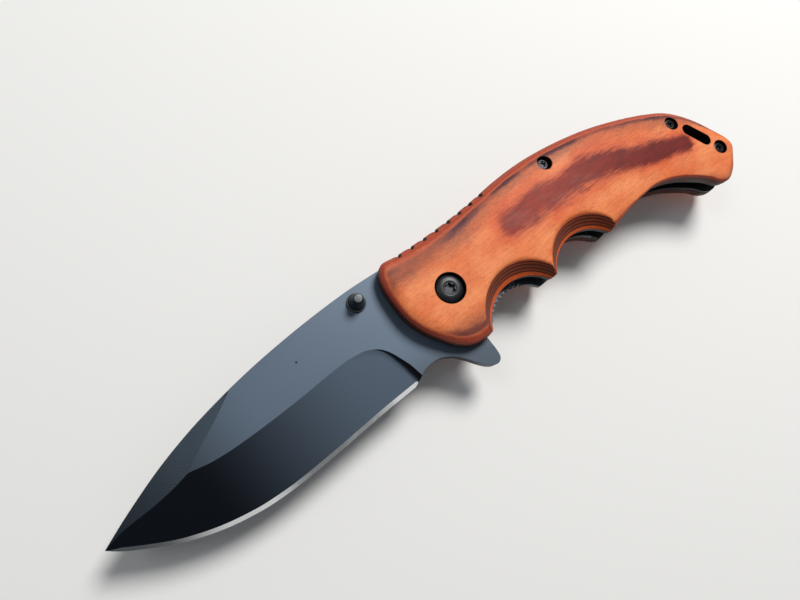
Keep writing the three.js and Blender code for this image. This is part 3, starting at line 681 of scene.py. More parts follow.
# %% [markdown]
# The wood of the scales is a stack of dyed veneers, pressed and then sanded to shape. So its pattern isn't
# painted on: each veneer has its height in the stack, and the sanded surface shows whichever veneer it
# happens to cut. Dark glue lines become contour lines along the rounded edges and stripes down the finger
# grooves, and the last of a maroon veneer is left along the crest.

# %% Shape of the scales
def sag(x):
    """How far the outer face has fallen towards the tail."""
    return np.maximum(x - SAG_START, 0) ** 2 / (2 * SAG_RADIUS)


def crown(points):
    """The height of the scale's face, before its edges are rounded."""
    x, y = points.T
    middle = (top_edge(x) + low_edge(x)) / 2
    return SCALE_TOP - CROWN_SLACK - sag(x) - (y - middle) ** 2 / (2 * CROWN_RADIUS)


def rounding_widths():
    """How far in the rounded edge reaches: less along the belly, and where the outline turns tightly."""
    following = np.roll(handle_normals, -1, axis=0)
    turning = handle_normals[:, 0] * following[:, 1] - handle_normals[:, 1] * following[:, 0]
    step = np.hypot(*(np.roll(handle_line, -1, axis=0) - handle_line).T)
    x, y = handle_line.T
    on_belly = (x > BELLY_FRONT) & (x < BELLY_REAR) & (y < BELLY_TOP)
    widest = np.where(on_belly, BELLY_ROUNDING, EDGE_ROUNDING)
    limit = np.where(turning > 0, np.minimum(widest, 0.7 * step / np.maximum(turning, 1e-9)), widest)
    reach = 10
    lowest = np.min([np.roll(limit, k) for k in range(-reach, reach + 1)], axis=0)
    return np.mean([np.roll(lowest, k) for k in range(-reach, reach + 1)], axis=0)


edge_widths = rounding_widths()


def soft_lower(a, b, reach):
    """The lower of two heights, blended where they cross, as sandpaper does."""
    share = np.clip(0.5 + 0.5 * (b - a) / reach, 0, 1)
    return b + (a - b) * share - reach * share * (1 - share)


def groove_height(points, centre, radius, upright):
    """Where a sanding drum, which leans and flares above its upright part, meets the wood."""
    dx, dy = (points - centre).T
    a = GROOVE_LEAN**2 - GROOVE_FLARE**2
    b = -2 * (GROOVE_LEAN * dy + GROOVE_FLARE * radius)
    c = dx**2 + dy**2 - radius**2
    inside = b**2 - 4 * a * c
    height = (-b - np.sqrt(np.maximum(inside, 0))) / (2 * a)
    return LINER_OUTSIDE + upright + np.where((inside > 0) & (dy > -4), np.maximum(height, 0), 50)


def scale_height(points, upright=0):
    """The height of the finished face: crown, rounded edge and finger grooves."""
    gap, where = nearest(points, handle_line)
    width = edge_widths[where]
    share = np.clip(1 - gap / width, 0, 1)
    fall = EDGE_DROP * np.sqrt(width / EDGE_ROUNDING) * (1 - np.sqrt(1 - share**2))
    height = crown(points) - fall
    for centre, radius in GROOVES:
        height = soft_lower(height, groove_height(points, np.array(centre), radius, upright), RIM_BLEND)
    return np.maximum(height, LINER_OUTSIDE + THINNEST_WOOD)


def scale_cloud():
    """Points where the scale's face turns: over the rounded edge, up the grooves and along their rims."""
    cloud = [inset(edge_widths * (1 - math.cos(a))) for a in np.linspace(0.25, math.pi / 2, 8)]
    for (x, y), radius in GROOVES:
        for height in np.linspace(0.45, 4.9, 13):
            reach = radius + GROOVE_FLARE * height
            cloud.append(arc(0.1, math.pi - 0.1, 72, reach, (x, y + GROOVE_LEAN * height)))
    cloud.append(hexagonal((-15, -26), (106, 18), 0.8))
    return thinned(np.vstack(cloud), 0.16)


scale_points, scale_triangles = skin(handle_sheet(0.01), [], scale_cloud(), 0.12)
print("scale's skin:", len(scale_points), "points")


# %% [markdown]
# Four holes, a slot and eight notches are cut into each scale after sanding, so their edges are crisp.
# The head of every body screw sinks into a stepped hole. The notches on the spine give the thumb a grip.
# They lie on the outline itself, so they follow its bow.

# %% Holes and notches in the scales
NOTCHES = 8
NOTCH_START = -5.1
NOTCH_PITCH = 4.22
NOTCH_DEPTH = 1.15
NOTCH_SHAPE = [(-1.5, 0.3), (-1.1, -0.05), (-0.6, -0.3), (-0.3, -NOTCH_DEPTH), (0.5, -NOTCH_DEPTH),
               (0.8, 0.3)]
CHAMFER = 0.12


def seat_cutter(place, hole, head, seat):
    """A screw's stepped hole, with its mouth eased by a small chamfer."""
    face = float(scale_height(np.array([place], float))[0])
    profile = [
        (0, 0), (hole, 0), (hole, seat), (head, seat), (head, face - CHAMFER),
        (head + CHAMFER, face), (head + CHAMFER, THROUGH), (0, THROUGH),
    ]
    return turned("seat", profile, place)


def notch_places():
    """Where the spine's notches lie: evenly along X, on the handle's outline."""
    spine = handle_line[(handle_line[:, 1] > 13) & (handle_line[:, 0] < 50)]
    spine = spine[np.argsort(spine[:, 0])]
    places = NOTCH_START + NOTCH_PITCH * np.arange(NOTCHES)
    return np.column_stack((places, np.interp(places, spine[:, 0], spine[:, 1])))


def scale_piece(name, extra_cutters=()):
    heights = scale_height(scale_points, UPRIGHT[name])
    made = solid_under("scale", scale_points, scale_triangles, heights, LINER_OUTSIDE)
    holes = [seat_cutter(place, SCREW_HOLE, SCREW_HEAD_RADIUS + HEAD_GAP, SCREW_SEAT)
             for place in SCREWS.values()]
    holes.append(seat_cutter((0, 0), PIVOT_HOLE_RADIUS, PIVOT_HOLE_RADIUS, LINER_OUTSIDE))
    notches = [sheet("notch", place + np.array(NOTCH_SHAPE), 0) for place in notch_places()]
    combine(made, [*holes, slot_cutter(), *notches])
    for cutter in extra_cutters:
        combine(made, [cutter])
    if name == "rear":
        mirror(made)
    return smooth(made, 38)


print("cutters for the scales ready")

# %% [markdown]
# The blade is a flat bar of steel that has been ground on both sides. Its faces meet in crisp lines: the
# ridge along the main bevel, the plunge where the grinding wheel was lifted out, the swedge on the spine
# and the narrow sharpened edge. Those lines go into the skin as fixed edges, and the face between two of
# them is a straight blend from one height to the other. Only the plunge is hollow, like the wheel.

# %% Lines of the blade
REACH = 98
PEAK_X = -75.4
PLUNGE_X = -32
SWEDGE_END_X = -56
TANG_RADIUS = 8.3
SHOULDER_X = -3.42
LOCK_FACE = (6.2, -1.5)
FLIPPER_BACK = 1.9
CHOIL = (-20.1, -13.9)
EDGE_END_X = -21
THIN_SPINE_X = -72
SHARPENED = 1.05
EDGE_HALF = 0.04
SHARPENED_HALF = 0.31
POINT_HALF = 0.25
SPINE_HALF_AT_SWEDGE = 0.45
EDGE_BREAK = 0.14

SPINE = [(-98, 0), (-90, 3.6), (-80, 7.5), (-70, 10.4), (-60, 12.4), (-50, 13.9), (-40, 14.9),
         (-30, 15.5), (-20, 15.7), (-10, 15.3), (-3, 14.9)]
EDGE = [(-98, 0), (-95, -2.6), (-90, -5.9), (-85, -8.8), (-80, -11), (-75, -12.7), (-70, -13.9),
        (-65, -14.7), (-57, -15.2), (-45, -15), (-32, -14.5), (-21.2, -14.35)]
FLIPPER = [(-18.3, -13), (-16.6, -12.4), (-14.7, -12.2), (-12.4, -12.4), (-10, -13.4), (-7.8, -15.1),
           (-5.8, -17.6), (-4.3, -19.7), (-2.8, -21.5), (-1.4, -22.5), (0.1, -22.8), (1.3, -22.1),
           (1.75, -20.8), (FLIPPER_BACK, -18.5)]
TO_PEAK = [(-98, 0), (-93, 1), (-85, 1.3), (-80, 1.8), (-77, 2.35), (PEAK_X, 2.6)]
RIDGE = [*TO_PEAK, (-73, 2.05), (-70, 1.4), (-65, 0.9), (-58, 0.7), (-50, 0.75), (-45, 0.9),
         (-40, 1.15), (-35, 1.35), (PLUNGE_X, 1.4)]
SWEDGE = [*TO_PEAK, (-73.6, 3.8), (-70, 5.9), (-65, 8.4), (-60, 11.3), (SWEDGE_END_X, 13.8)]
PLUNGE = [(PLUNGE_X, 1.4), (-27.4, 0.85), (-25, 0), (-22.8, -1.5), (-21.2, -3.8), (-20, -6.65),
          (-19.1, -9.2), (-18.5, -12.2), (-18.1, -14.6)]

spine_at, edge_at, ridge_at, swedge_at = (reader(line) for line in (SPINE, EDGE, RIDGE, SWEDGE))
plunge_line = open_spline(PLUNGE, 10)
ground_line = np.vstack((open_spline(RIDGE, 8), plunge_line[1:]))


def blade_outline():
    """Clockwise from the point along the spine, round the tang and back along the edge."""
    on_tang = math.sqrt(TANG_RADIUS**2 - SHOULDER_X**2)
    notch_top = math.asin(LOCK_FACE[1] / TANG_RADIUS)
    notch_end = -math.acos(LOCK_FACE[0] / TANG_RADIUS)
    flipper_start = -math.acos(FLIPPER_BACK / TANG_RADIUS)
    spine = open_spline(SPINE)
    return np.vstack((
        spine[spine[:, 0] < SHOULDER_X - 0.1], [(SHOULDER_X, spine_at(SHOULDER_X))],
        arc(math.atan2(on_tang, SHOULDER_X), notch_top, 30, TANG_RADIUS), [LOCK_FACE],
        arc(notch_end, flipper_start, 12, TANG_RADIUS), open_spline(FLIPPER)[::-1],
        [CHOIL], open_spline(EDGE)[::-1][:-1],
    ))


def sharpened_width(x):
    """How far the sharpened edge reaches in from the blade's edge."""
    return np.minimum(SHARPENED, 0.3 * (ridge_at(x) - edge_at(x)))


def ridge_half(x):
    """Half the thickness at the ridge, which thins from the swedge's peak to the point."""
    share = np.clip((x + REACH) / (PEAK_X + REACH), 0, 1)
    return POINT_HALF + (BLADE_FACE - POINT_HALF) * share


print("blade:", REACH, "mm from the pivot's axis to the point")

# %% [markdown]
# Each place on the blade now gets its half thickness and its finish from the lines that lie round it. The
# outline, the lines and a cloud of points become one skin, and the same skin closes both sides of the
# blade. The rim is a little thinner than the faces, which breaks the corner without a bevel.

# %% Height and finish of every place on the blade
FLAT, BEVEL, SWEDGED, SHARP, SIDE = range(5)
PLUNGE_WIDTH = 2.4


def blend(low, high, share):
    """The value between low and high at a share from 0 to 1."""
    return low + (high - low) * np.clip(share, 0, 1)


def plunge_share(stretch):
    """The plunge's hollow starts narrow at the ridge and widens towards the edge."""
    return np.minimum(1, 0.35 + stretch / len(plunge_line))


def ground_and_swedge(points):
    """Which places the main grind takes in, and which the swedge."""
    x, y = points.T
    past_edge = [(-18.1, -20), (-100, -20), (-100, -0.02)]
    ground = within(points, np.vstack((ground_line, past_edge)))
    return ground, ~ground & (x < SWEDGE_END_X) & (y > swedge_at(x))


def blade_finish(points):
    """The finish of each place, as a number in the order of the blade's materials."""
    x, y = points.T
    ground, swedge = ground_and_swedge(points)
    kind = np.where(ground, BEVEL, FLAT)
    kind[ground & (y < edge_at(x) + sharpened_width(x)) & (x < EDGE_END_X + 1)] = SHARP
    kind[swedge] = SWEDGED
    return kind


def blade_half(points):
    """Half the blade's thickness over each place."""
    x, y = points.T
    edge, width = edge_at(x), sharpened_width(x)
    ridge = np.where(x < PLUNGE_X, ridge_at(x), ridge_at(PLUNGE_X))
    bevel_foot = np.minimum(SHARPENED_HALF, 0.6 * ridge_half(x))
    sharp = blend(EDGE_HALF, bevel_foot, (y - edge) / np.maximum(width, 1e-6))
    face = blend(bevel_foot, ridge_half(x), (y - edge - width) / np.maximum(ridge - edge - width, 1e-6))
    bevel = np.where(y < edge + width, sharp, face)
    gap, where = nearest(points, plunge_line, closed=False)
    rise = np.clip(1 - gap / (PLUNGE_WIDTH * plunge_share(where)), 0, 1) ** 2
    hollow = bevel + (BLADE_FACE - bevel) * rise
    toward_end = (x - THIN_SPINE_X) / (SWEDGE_END_X - THIN_SPINE_X)
    spine_half = blend(np.minimum(SPINE_HALF_AT_SWEDGE, 0.9 * ridge_half(x)), BLADE_FACE, toward_end)
    swedge_share = (y - swedge_at(x)) / np.maximum(spine_at(x) - swedge_at(x), 0.05)
    swedged = blend(ridge_half(x), spine_half, swedge_share)
    flat = np.where(x < PEAK_X, ridge_half(x), BLADE_FACE)
    return np.select(ground_and_swedge(points), [hollow, swedged], flat)


def blade_cloud():
    """Points all over the blade, in close rows along the plunge."""
    along = np.gradient(plunge_line, axis=0)
    along /= np.linalg.norm(along, axis=1)[:, None]
    inward = np.column_stack((along[:, 1], -along[:, 0]))
    reach = PLUNGE_WIDTH * plunge_share(np.arange(len(plunge_line)))
    rows = [plunge_line + inward * (reach * share)[:, None] for share in np.linspace(0.12, 1.1, 9)]
    return thinned(np.vstack((*rows, hexagonal((-98, -23), (9, 16), 1.6))), 0.2)


def two_sided(name, points, triangles, halves):
    """A solid with the same relief on both sides of the mid-plane."""
    rim = rim_of(triangles)
    n = len(points)
    both = np.vstack((np.column_stack((points, halves)), np.column_stack((points, -halves))))
    walls = [(n + a, n + b, b, a) for a, b in zip(rim, rim[1:] + rim[:1])]
    return mesh_object(name, both, triangles.tolist() + (triangles[:, ::-1] + n).tolist() + walls)


def crease_between_finishes(made, angle=30):
    """Smooth inside each ground face, crisp where two finishes meet."""
    mesh = bmesh.new()
    mesh.from_mesh(made.data)
    for edge in mesh.edges:
        faces = edge.link_faces
        edge.smooth = len(faces) == 2 and (
            faces[0].material_index == faces[1].material_index
            and edge.calc_face_angle(math.pi) < math.radians(angle)
        )
    mesh.to_mesh(made.data)
    mesh.free()
    return made


def blade_piece(finishes):
    outline = blade_outline()[::-1]
    shoulder = np.linspace(-97.5, EDGE_END_X, 90)
    lines = [
        ground_line,
        open_spline(SWEDGE, 8)[8 * (len(TO_PEAK) - 1):],
        np.column_stack((shoulder, edge_at(shoulder) + sharpened_width(shoulder))),
        open_spline(SPINE)[2:-2] - (0, EDGE_BREAK),
        open_spline(FLIPPER)[2:-3] + EDGE_BREAK * np.array((-0.2, 1)),
    ]
    points, triangles = skin(outline, lines, blade_cloud(), 0.25)
    halves = blade_half(points)
    on_rim = np.isin(np.arange(len(points)), rim_of(triangles))
    halves[on_rim & (halves > 0.8)] -= 0.8 * EDGE_BREAK
    made = two_sided("blade", points, triangles, halves)
    made.data.shade_smooth()
    for finish in finishes:
        made.data.materials.append(finish)
    faces = 2 * len(triangles)
    indices = np.full(len(made.data.polygons), SIDE, np.int32)
    indices[:faces] = np.tile(blade_finish(points[triangles].mean(axis=1)), 2)
    centres = np.array([tuple(wall.center) for wall in made.data.polygons][faces:])
    x, y, _ = ((centres - np.array(PIVOT)) / MM).T
    indices[faces:][(y < edge_at(x) + 0.5) & (x < EDGE_END_X)] = SHARP
    made.data.polygons.foreach_set("material_index", indices)
    combine(made, [rod((0, 0), PIVOT_BORE), rod(STUD_PLACE, STUD_STEM)])
    # The plunge keeps a number for its painted shade, which widens toward the edge.
    gap, where = nearest(local(made)[:, :2], plunge_line, closed=False)
    plunge_shade_width = blend(0.05, PLUNGE_WIDTH, (where / len(plunge_line) - 0.25) / 0.5)
    store(made, "hollow", 1 - gap / plunge_shade_width)
    return crease_between_finishes(made)


print("blade's outline:", len(blade_outline()), "points")

# %% [markdown]
# Under the wood lie two steel liners with the blade, two washers and a backspacer between them. The rear
# liner has a long tongue sawn free, the lock bar: it springs in behind the open blade. It is drawn flat, as
# it is sawn, and then turned about its root by the angle that brings its tip to the tang.

# %% Liners, lock bar and backspacer
LOCK_TIP_X = 6.45
LOCK_ROOT_X = 49
LOCK_TOP = -2.2
LOCK_SLOT = 0.7
LOCK_PROUD = 1.4
LOCK_MIDDLE = -(LINER_INSIDE + LINER_OUTSIDE) / 2
SPRING_ANGLE = math.asin(LINER_INSIDE / (LOCK_ROOT_X - LOCK_TIP_X))
TOOTH_RADIUS = 0.55
TOOTH_PITCH = 1.5
TEETH = 9
TEETH_START = math.radians(128)
BALL_RADIUS = 0.8
BALL_PROUD = 0.38
LINER_INSET = 0.15
RELIEF_RADIUS = 1.6
RELIEF_TO_ROOT = 3
STOP_PIN = (-1.8205, 9.8329)
STOP_PIN_RADIUS = 1.5
PIN_PLAY = 0.08
FOLD = math.radians(170)
SPACER_FRONT_X = 28
SPACER_INSET = 0.9
SHUT_GAP = 1.3  # between the shut blade and the backspacer
FAR = 60


def rectangle(left, low, right, high):
    return [(left, low), (right, low), (right, high), (left, high)]


def liner_piece(side):
    low, high = sorted((side * LINER_INSIDE, side * LINER_OUTSIDE))
    made = sheet("liner", handle_sheet(LINER_INSET), low, high)
    combine(made, [rod((0, 0), PIVOT_BORE), rod(STOP_PIN, STOP_PIN_RADIUS + PIN_PLAY),
                   *screw_holes(SCREWS.values()), slot_cutter()])
    if side < 0:
        slot_top = LOCK_TOP + LOCK_SLOT
        slot = rectangle(LOCK_TIP_X - LOCK_SLOT, -30, LOCK_ROOT_X + 0.25, slot_top)
        combine(made, [sheet("slot", slot)])
        combine(made, [rod((LOCK_ROOT_X - RELIEF_TO_ROOT, slot_top), RELIEF_RADIUS)])
        combine(made, screw_holes(CLIP_SCREWS))
    return soften(made, 0.09)


def lock_bar_piece():
    line = inset(LINER_INSET)
    for (centre, radius), proud in zip(GROOVES, (LOCK_PROUD, 0)):
        line = bite(line, np.array(centre), radius - proud, 80)
    made = sheet("lock bar", line, -LINER_OUTSIDE, -LINER_INSIDE)
    tongue = rectangle(LOCK_TIP_X, -30, LOCK_ROOT_X, LOCK_TOP)
    combine(made, [sheet("tongue", tongue)], "INTERSECT")
    centre, radius = GROOVES[0]
    pad = radius - LOCK_PROUD
    places = arc(TEETH_START, TEETH_START - (TEETH - 1) * TOOTH_PITCH / pad, TEETH, pad, centre)
    combine(made, [rod(place, TOOTH_RADIUS, segments=20) for place in places])
    ball = arc(-math.pi / 2, math.pi / 2, 20, BALL_RADIUS, (0, BALL_PROUD - LINER_INSIDE - BALL_RADIUS))
    ball[[0, -1], 0] = 0
    combine(made, [turned("ball", ball, (LOCK_TIP_X + 1.1, LOCK_TOP - 1.2), 32)], "UNION")
    soften(made, 0.07)
    hinge = PIVOT + Vector((LOCK_ROOT_X, 0, LOCK_MIDDLE)) * MM
    turn = Matrix.Rotation(SPRING_ANGLE, 4, "Y")
    made.data.transform(Matrix.Translation(hinge) @ turn @ Matrix.Translation(-hinge))
    return made


def backspacer_piece():
    """All of the handle's inside that the shut blade leaves free, behind the pivot's end."""
    turn_shut = np.array(((math.cos(FOLD), math.sin(FOLD)), (-math.sin(FOLD), math.cos(FOLD))))
    shut_edge = (open_spline(EDGE) @ turn_shut + (0, SHUT_GAP))[::-1]
    tip_arc = arc(math.radians(-11), math.radians(-24), 12, REACH + 1)
    room = np.vstack((shut_edge[:-1], tip_arc, [(0, -FAR), (0, shut_edge[0][1])]))
    made = sheet("backspacer", inset(SPACER_INSET), -LINER_INSIDE, LINER_INSIDE)
    combine(made, [sheet("room", room[::-1])])
    combine(made, [sheet("front", rectangle(-FAR, -FAR, SPACER_FRONT_X, FAR))])
    combine(made, [*screw_holes(SCREWS.values()), slot_cutter()])
    return soften(made, 0.15)


print("lock bar springs in by", round(math.degrees(SPRING_ANGLE), 2), "degrees")

# %% [markdown]
# All the round hardware comes off a lathe, so each piece is a profile turned about its own axis. A socket
# in the shape of a star is then cut into the screws' heads. The profiles are closed with short curves where
# the real ones are rounded, because the soft highlight on those curves says that the screw is domed.

# %% Screws, pivot, studs and pins
QUARTER = math.pi / 2
WASHER_RADIUS = 6
SCREW_SHANK = 1.1
SCREW_HEAD_HEIGHT = 1.2
SCREW_DISH = 1.25
SCREW_SOCKET, SCREW_SOCKET_DEPTH = 0.98, 0.75
PIVOT_SHANK = 2.5
SHANK_END = 0.3
DOME_RISE = 1.1
DOME_RING = 1.86
PIVOT_SOCKET, PIVOT_SOCKET_DEPTH = 1.6, 1.1
STUD_FLANGE = 2.55
STUD_FLANGE_HEIGHT = 0.8
STUD_FOOT = 2.05
STUD_TOP = 1.2
STUD_HEIGHT = 4.7
# How far each place is lightened: wear and painted highlight on the stud's top and in the socket, only a
# painted highlight on the flange's rim.
STUD_TOP_WEAR_AND_HIGHLIGHT, FLANGE_PAINTED_HIGHLIGHT, SOCKET_WEAR_AND_HIGHLIGHT = 0.26, 0.35, 0.06


def star_socket(made, place, radius, low):
    """Cuts a six-lobed driver socket into a head, and breaks its edges."""
    angles = np.linspace(0, 2 * math.pi, 96, endpoint=False)
    reach = radius * (0.87 + 0.13 * np.cos(6 * angles))
    outline = np.column_stack((place[0] + reach * np.cos(angles), place[1] + reach * np.sin(angles)))
    combine(made, [sheet("star", outline, low)])
    return soften(made, 0.05, 2, 35)


def screw_piece(place, seat, shank_end, flip):
    """A screw with a domed head, a shallow dish in its top and a star socket."""
    head, top, dish = SCREW_HEAD_RADIUS, seat + SCREW_HEAD_HEIGHT, SCREW_DISH
    wide, tall = 0.42 * head, 0.55 * SCREW_HEAD_HEIGHT
    profile = [
        (0, shank_end), (SCREW_SHANK, shank_end), (SCREW_SHANK, seat), (head - 0.05, seat),
        *arc(0, QUARTER, 7, (wide, tall), (head - wide, top - tall)),
        (dish + 0.12, top), (dish, top - 0.06), (dish - 0.08, top - 0.22), (0, top - 0.22),
    ]
    made = star_socket(turned("screw", profile, place), place, SCREW_SOCKET, top - SCREW_SOCKET_DEPTH)
    return mirror(made) if flip else made


def pivot_piece(flip):
    """A wide dome with a narrow flat ring round its socket."""
    top, ring = LINER_OUTSIDE + HEAD_HEIGHT, DOME_RING
    profile = [
        (0, 1), (PIVOT_SHANK, 1), (PIVOT_SHANK, LINER_OUTSIDE), (HEAD_RADIUS - 0.05, LINER_OUTSIDE),
        *arc(0, QUARTER, 14, (HEAD_RADIUS - ring, DOME_RISE), (ring, top - DOME_RISE)),
        (ring - 0.08, top - 0.04), (ring - 0.16, top - 0.1), (0, top - 0.1),
    ]
    bottom = top - PIVOT_SOCKET_DEPTH
    made = star_socket(turned("pivot", profile, (0, 0), 96), (0, 0), PIVOT_SOCKET, bottom)
    x, y, z = local(made).T
    # The socket's floor gets wear and a painted highlight.
    in_socket = (np.abs(z - bottom) < 0.1) & (np.hypot(x, y) < PIVOT_SOCKET + 0.1)
    store(made, "worn", in_socket * SOCKET_WEAR_AND_HIGHLIGHT)
    return mirror(made) if flip else made


def stud_piece(flip):
    """A flange, and a cone on it that rounds over into a small flat top."""
    foot, flange, top = STUD_FOOT, STUD_FLANGE, BLADE_FACE + STUD_HEIGHT
    rise = BLADE_FACE + STUD_FLANGE_HEIGHT
    profile = [
        (0, BLADE_FACE), (flange - 0.1, BLADE_FACE), (flange, BLADE_FACE + 0.12),
        (flange, rise - 0.3), (flange - 0.08, rise - 0.1), (flange - 0.3, rise),
        (foot - 0.12, rise + 0.02), (foot - 0.2, rise + 0.2), (foot - 0.2, rise + 0.45), (foot, rise + 0.7),
        *arc(0, QUARTER, 9, (0.5, 0.7), (STUD_TOP - 0.3, top - 0.7)), (0, top),
    ]
    made = smooth(turned("stud", profile, STUD_PLACE, 96), 32)
    x, y, z = local(made).T
    radius = np.hypot(x - STUD_PLACE[0], y - STUD_PLACE[1])
    # Wear and painted highlight on the top, and only a painted highlight on the flange's rim.
    on_rim = (radius > flange - 0.2) & (z > rise - 0.2)
    store(made, "worn", np.where(z > top - 0.02, STUD_TOP_WEAR_AND_HIGHLIGHT, on_rim * FLANGE_PAINTED_HIGHLIGHT))
    return mirror(made) if flip else made


def washer_piece(side):
    low, high = sorted((side * BLADE_FACE, side * LINER_INSIDE))
    made = rod((0, 0), WASHER_RADIUS, low, high, 96)
    combine(made, [rod((0, 0), PIVOT_BORE)])
    return soften(made, 0.06)


print("lathe work ready")

# %% [markdown]
# A pocket clip is a strip of spring steel, bent cold. It is modelled the same way: a centre line gives the
# bends, the strip is laid along it with its real width, which narrows to a rounded tip, and two holes take
# its screws.

# %% Pocket clip
CLIP_START = (9, 6.5)
CLIP_HEADING = math.radians(-3)
CLIP_LENGTH = 66
CLIP_WIDTH = 9
CLIP_SEAT = SCALE_TOP - 0.8
CLIP_INSETS = (4.5, 12.5)
CLIP_THICKNESS = 1
CLIP_TIP = 3.5  # the rounded tip's length
CLIP_HEEL = 2  # the radius of the heel's corners
TAPER_START = 18
CLIP_TAPER = 1.2
CLIP_ROWS = 5
ARM_RISE = 2.97
RECESS_GAP = 0.25
RECESS_CORNER = 0.6
CLIP_SHANK_END, CLIP_HOLE_TOP = 2.2, 6.5


def along_clip(u, v=0.0):
    """A place on the clip, from its distance along it and across it."""
    return (CLIP_START[0] + u * math.cos(CLIP_HEADING) - v * math.sin(CLIP_HEADING),
            CLIP_START[1] + u * math.sin(CLIP_HEADING) + v * math.cos(CLIP_HEADING))


CLIP_SCREWS = [along_clip(u) for u in CLIP_INSETS]


def clip_half_width(u, grow=0.0):
    """Half the clip's width: a rounded heel, a taper and a rounded tip."""
    half = CLIP_WIDTH / 2 + grow
    straight = CLIP_LENGTH - CLIP_TIP
    tapered = half - CLIP_TAPER * np.clip((u - TAPER_START) / (straight - TAPER_START), 0, 1)
    tip = np.sqrt(np.clip(1 - ((u - straight) / CLIP_TIP).clip(0, 1) ** 2, 0, 1))
    into_heel = ((CLIP_HEEL - grow - u) / CLIP_HEEL).clip(0, 1)
    heel = half - CLIP_HEEL * (1 - np.sqrt(np.clip(1 - into_heel ** 2, 0, 1)))
    return np.minimum(tapered * tip, heel)


def clip_level():
    """The clip's centre line as (along, height) pairs."""
    base = CLIP_SEAT + CLIP_THICKNESS / 2
    arm = base + ARM_RISE
    touch = SCALE_TOP + 0.85
    bends = [
        (0, base), (16, base), (18, base + 0.12), (21, base + 1.35), (24.5, arm - 0.18), (27, arm),
        (44, arm), (48, arm - 0.2), (51.5, blend(arm, touch, 0.45)), (55, blend(arm, touch, 0.85)),
        (58, touch), (61, touch + 0.25), (64, touch + 0.9), (66, touch + 1.5),
    ]
    return open_spline(bends, 6)


def clip_piece():
    line = clip_level()
    heel = [0.0, 0.05, 0.2, 0.5, 1, 1.5]
    tip = CLIP_LENGTH - CLIP_TIP * np.array([0.8, 0.55, 0.35, 0.2, 0.1, 0.03])
    u = np.unique(np.concatenate((line[:, 0], heel, tip)))
    level = np.interp(u, line[:, 0], line[:, 1])
    slope = np.gradient(level, u)
    length = np.hypot(1, slope)
    half = np.maximum(clip_half_width(u), 0.12)
    points = []
    for side in (-CLIP_THICKNESS / 2, CLIP_THICKNESS / 2):
        for across in np.linspace(-1, 1, CLIP_ROWS):
            x, y = along_clip(u - side * slope / length, across * half)
            points.append(np.column_stack((x, y, level + side / length)))
    n, above = len(u), CLIP_ROWS * len(u)
    faces = []
    for k in range(n - 1):
        for a in range(k, above - n, n):
            faces += [(a, a + n, a + n + 1, a + 1),
                      (above + a, above + a + 1, above + a + n + 1, above + a + n)]
        for a, order in ((k, 1), (above - n + k, -1)):
            faces.append((a, a + 1, above + a + 1, above + a)[::order])
    for k, order in ((0, -1), (n - 1, 1)):
        faces += [(a, a + n, above + a + n, above + a)[::order] for a in range(k, above - n, n)]
    made = mesh_object("clip", np.vstack(points), faces)
    combine(made, screw_holes(CLIP_SCREWS, 0))
    soften(made, 0.22, 3)
    return mirror(made)


def clip_recess():
    """Cutters for the shallow pocket in the rear scale that takes the clip's base, and for its screws."""
    u = np.concatenate((np.linspace(-RECESS_GAP, CLIP_HEEL, 12), [21]))
    half = clip_half_width(u, RECESS_GAP)
    half[0] = half[1] * RECESS_CORNER
    near, far = (np.column_stack(along_clip(u, side * half)) for side in (-1, 1))
    pocket = sheet("recess", np.vstack((near, far[::-1])), CLIP_SEAT)
    return [pocket, *screw_holes(CLIP_SCREWS, 0, CLIP_HOLE_TOP)]


arm_top = CLIP_SEAT + CLIP_THICKNESS + ARM_RISE - SCALE_TOP
print("clip's arm rises to", round(arm_top, 2), "mm over the wood")

# %% [markdown]
# The wood's material needs to know where it is, so each point of a finished scale keeps eight numbers.
# They tell its height in the stack of veneers, its distance from the maroon crest, from the outline, from
# the sawn walls and from the holes, which side of the middle it is on, how near the drum of a finger
# groove passed, and how steep the face is. The stack isn't quite flat in the press, so its height wanders
# a little along the handle.

# %% Stack of veneers
STACK_WANDER = 0.25
STACK_WAVE = 88
STACK_TILT = 0.012
# Where painted shade sits in each notch.
NOTCH_SHADE_SPOT = (0.1, -0.3, 0.76)  # its place in a notch, and its radius
CREST = [(25.8, 4.1, 3.9), (31, 4, 4.5), (37, 4.1, 4.5), (46, 3.5, 4.1), (55, 3.2, 4.5), (62, 1.6, 4.3),
         (70, -1.7, 3.8), (79, -4.5, 3.5), (84.5, -6.2, 3.3), (88.5, -7.9, 3)]


def hole_gap(x, y):
    """How far each place is from the nearest hole, slot or notch."""
    along, across, radius = NOTCH_SHADE_SPOT
    holes = [(a, b, SCREW_HEAD_RADIUS + HEAD_GAP) for a, b in SCREWS.values()]
    holes += [(a + along, b + across, radius) for a, b in notch_places()]
    gaps = [np.hypot(x - a, y - b) - radius for a, b, radius in (*holes, (0, 0, PIVOT_HOLE_RADIUS))]
    slot = np.array(LANYARD_ENDS, float)
    gaps.append(nearest(np.column_stack((x, y)), slot, closed=False)[0] - LANYARD_RADIUS)
    return np.min(gaps, axis=0)


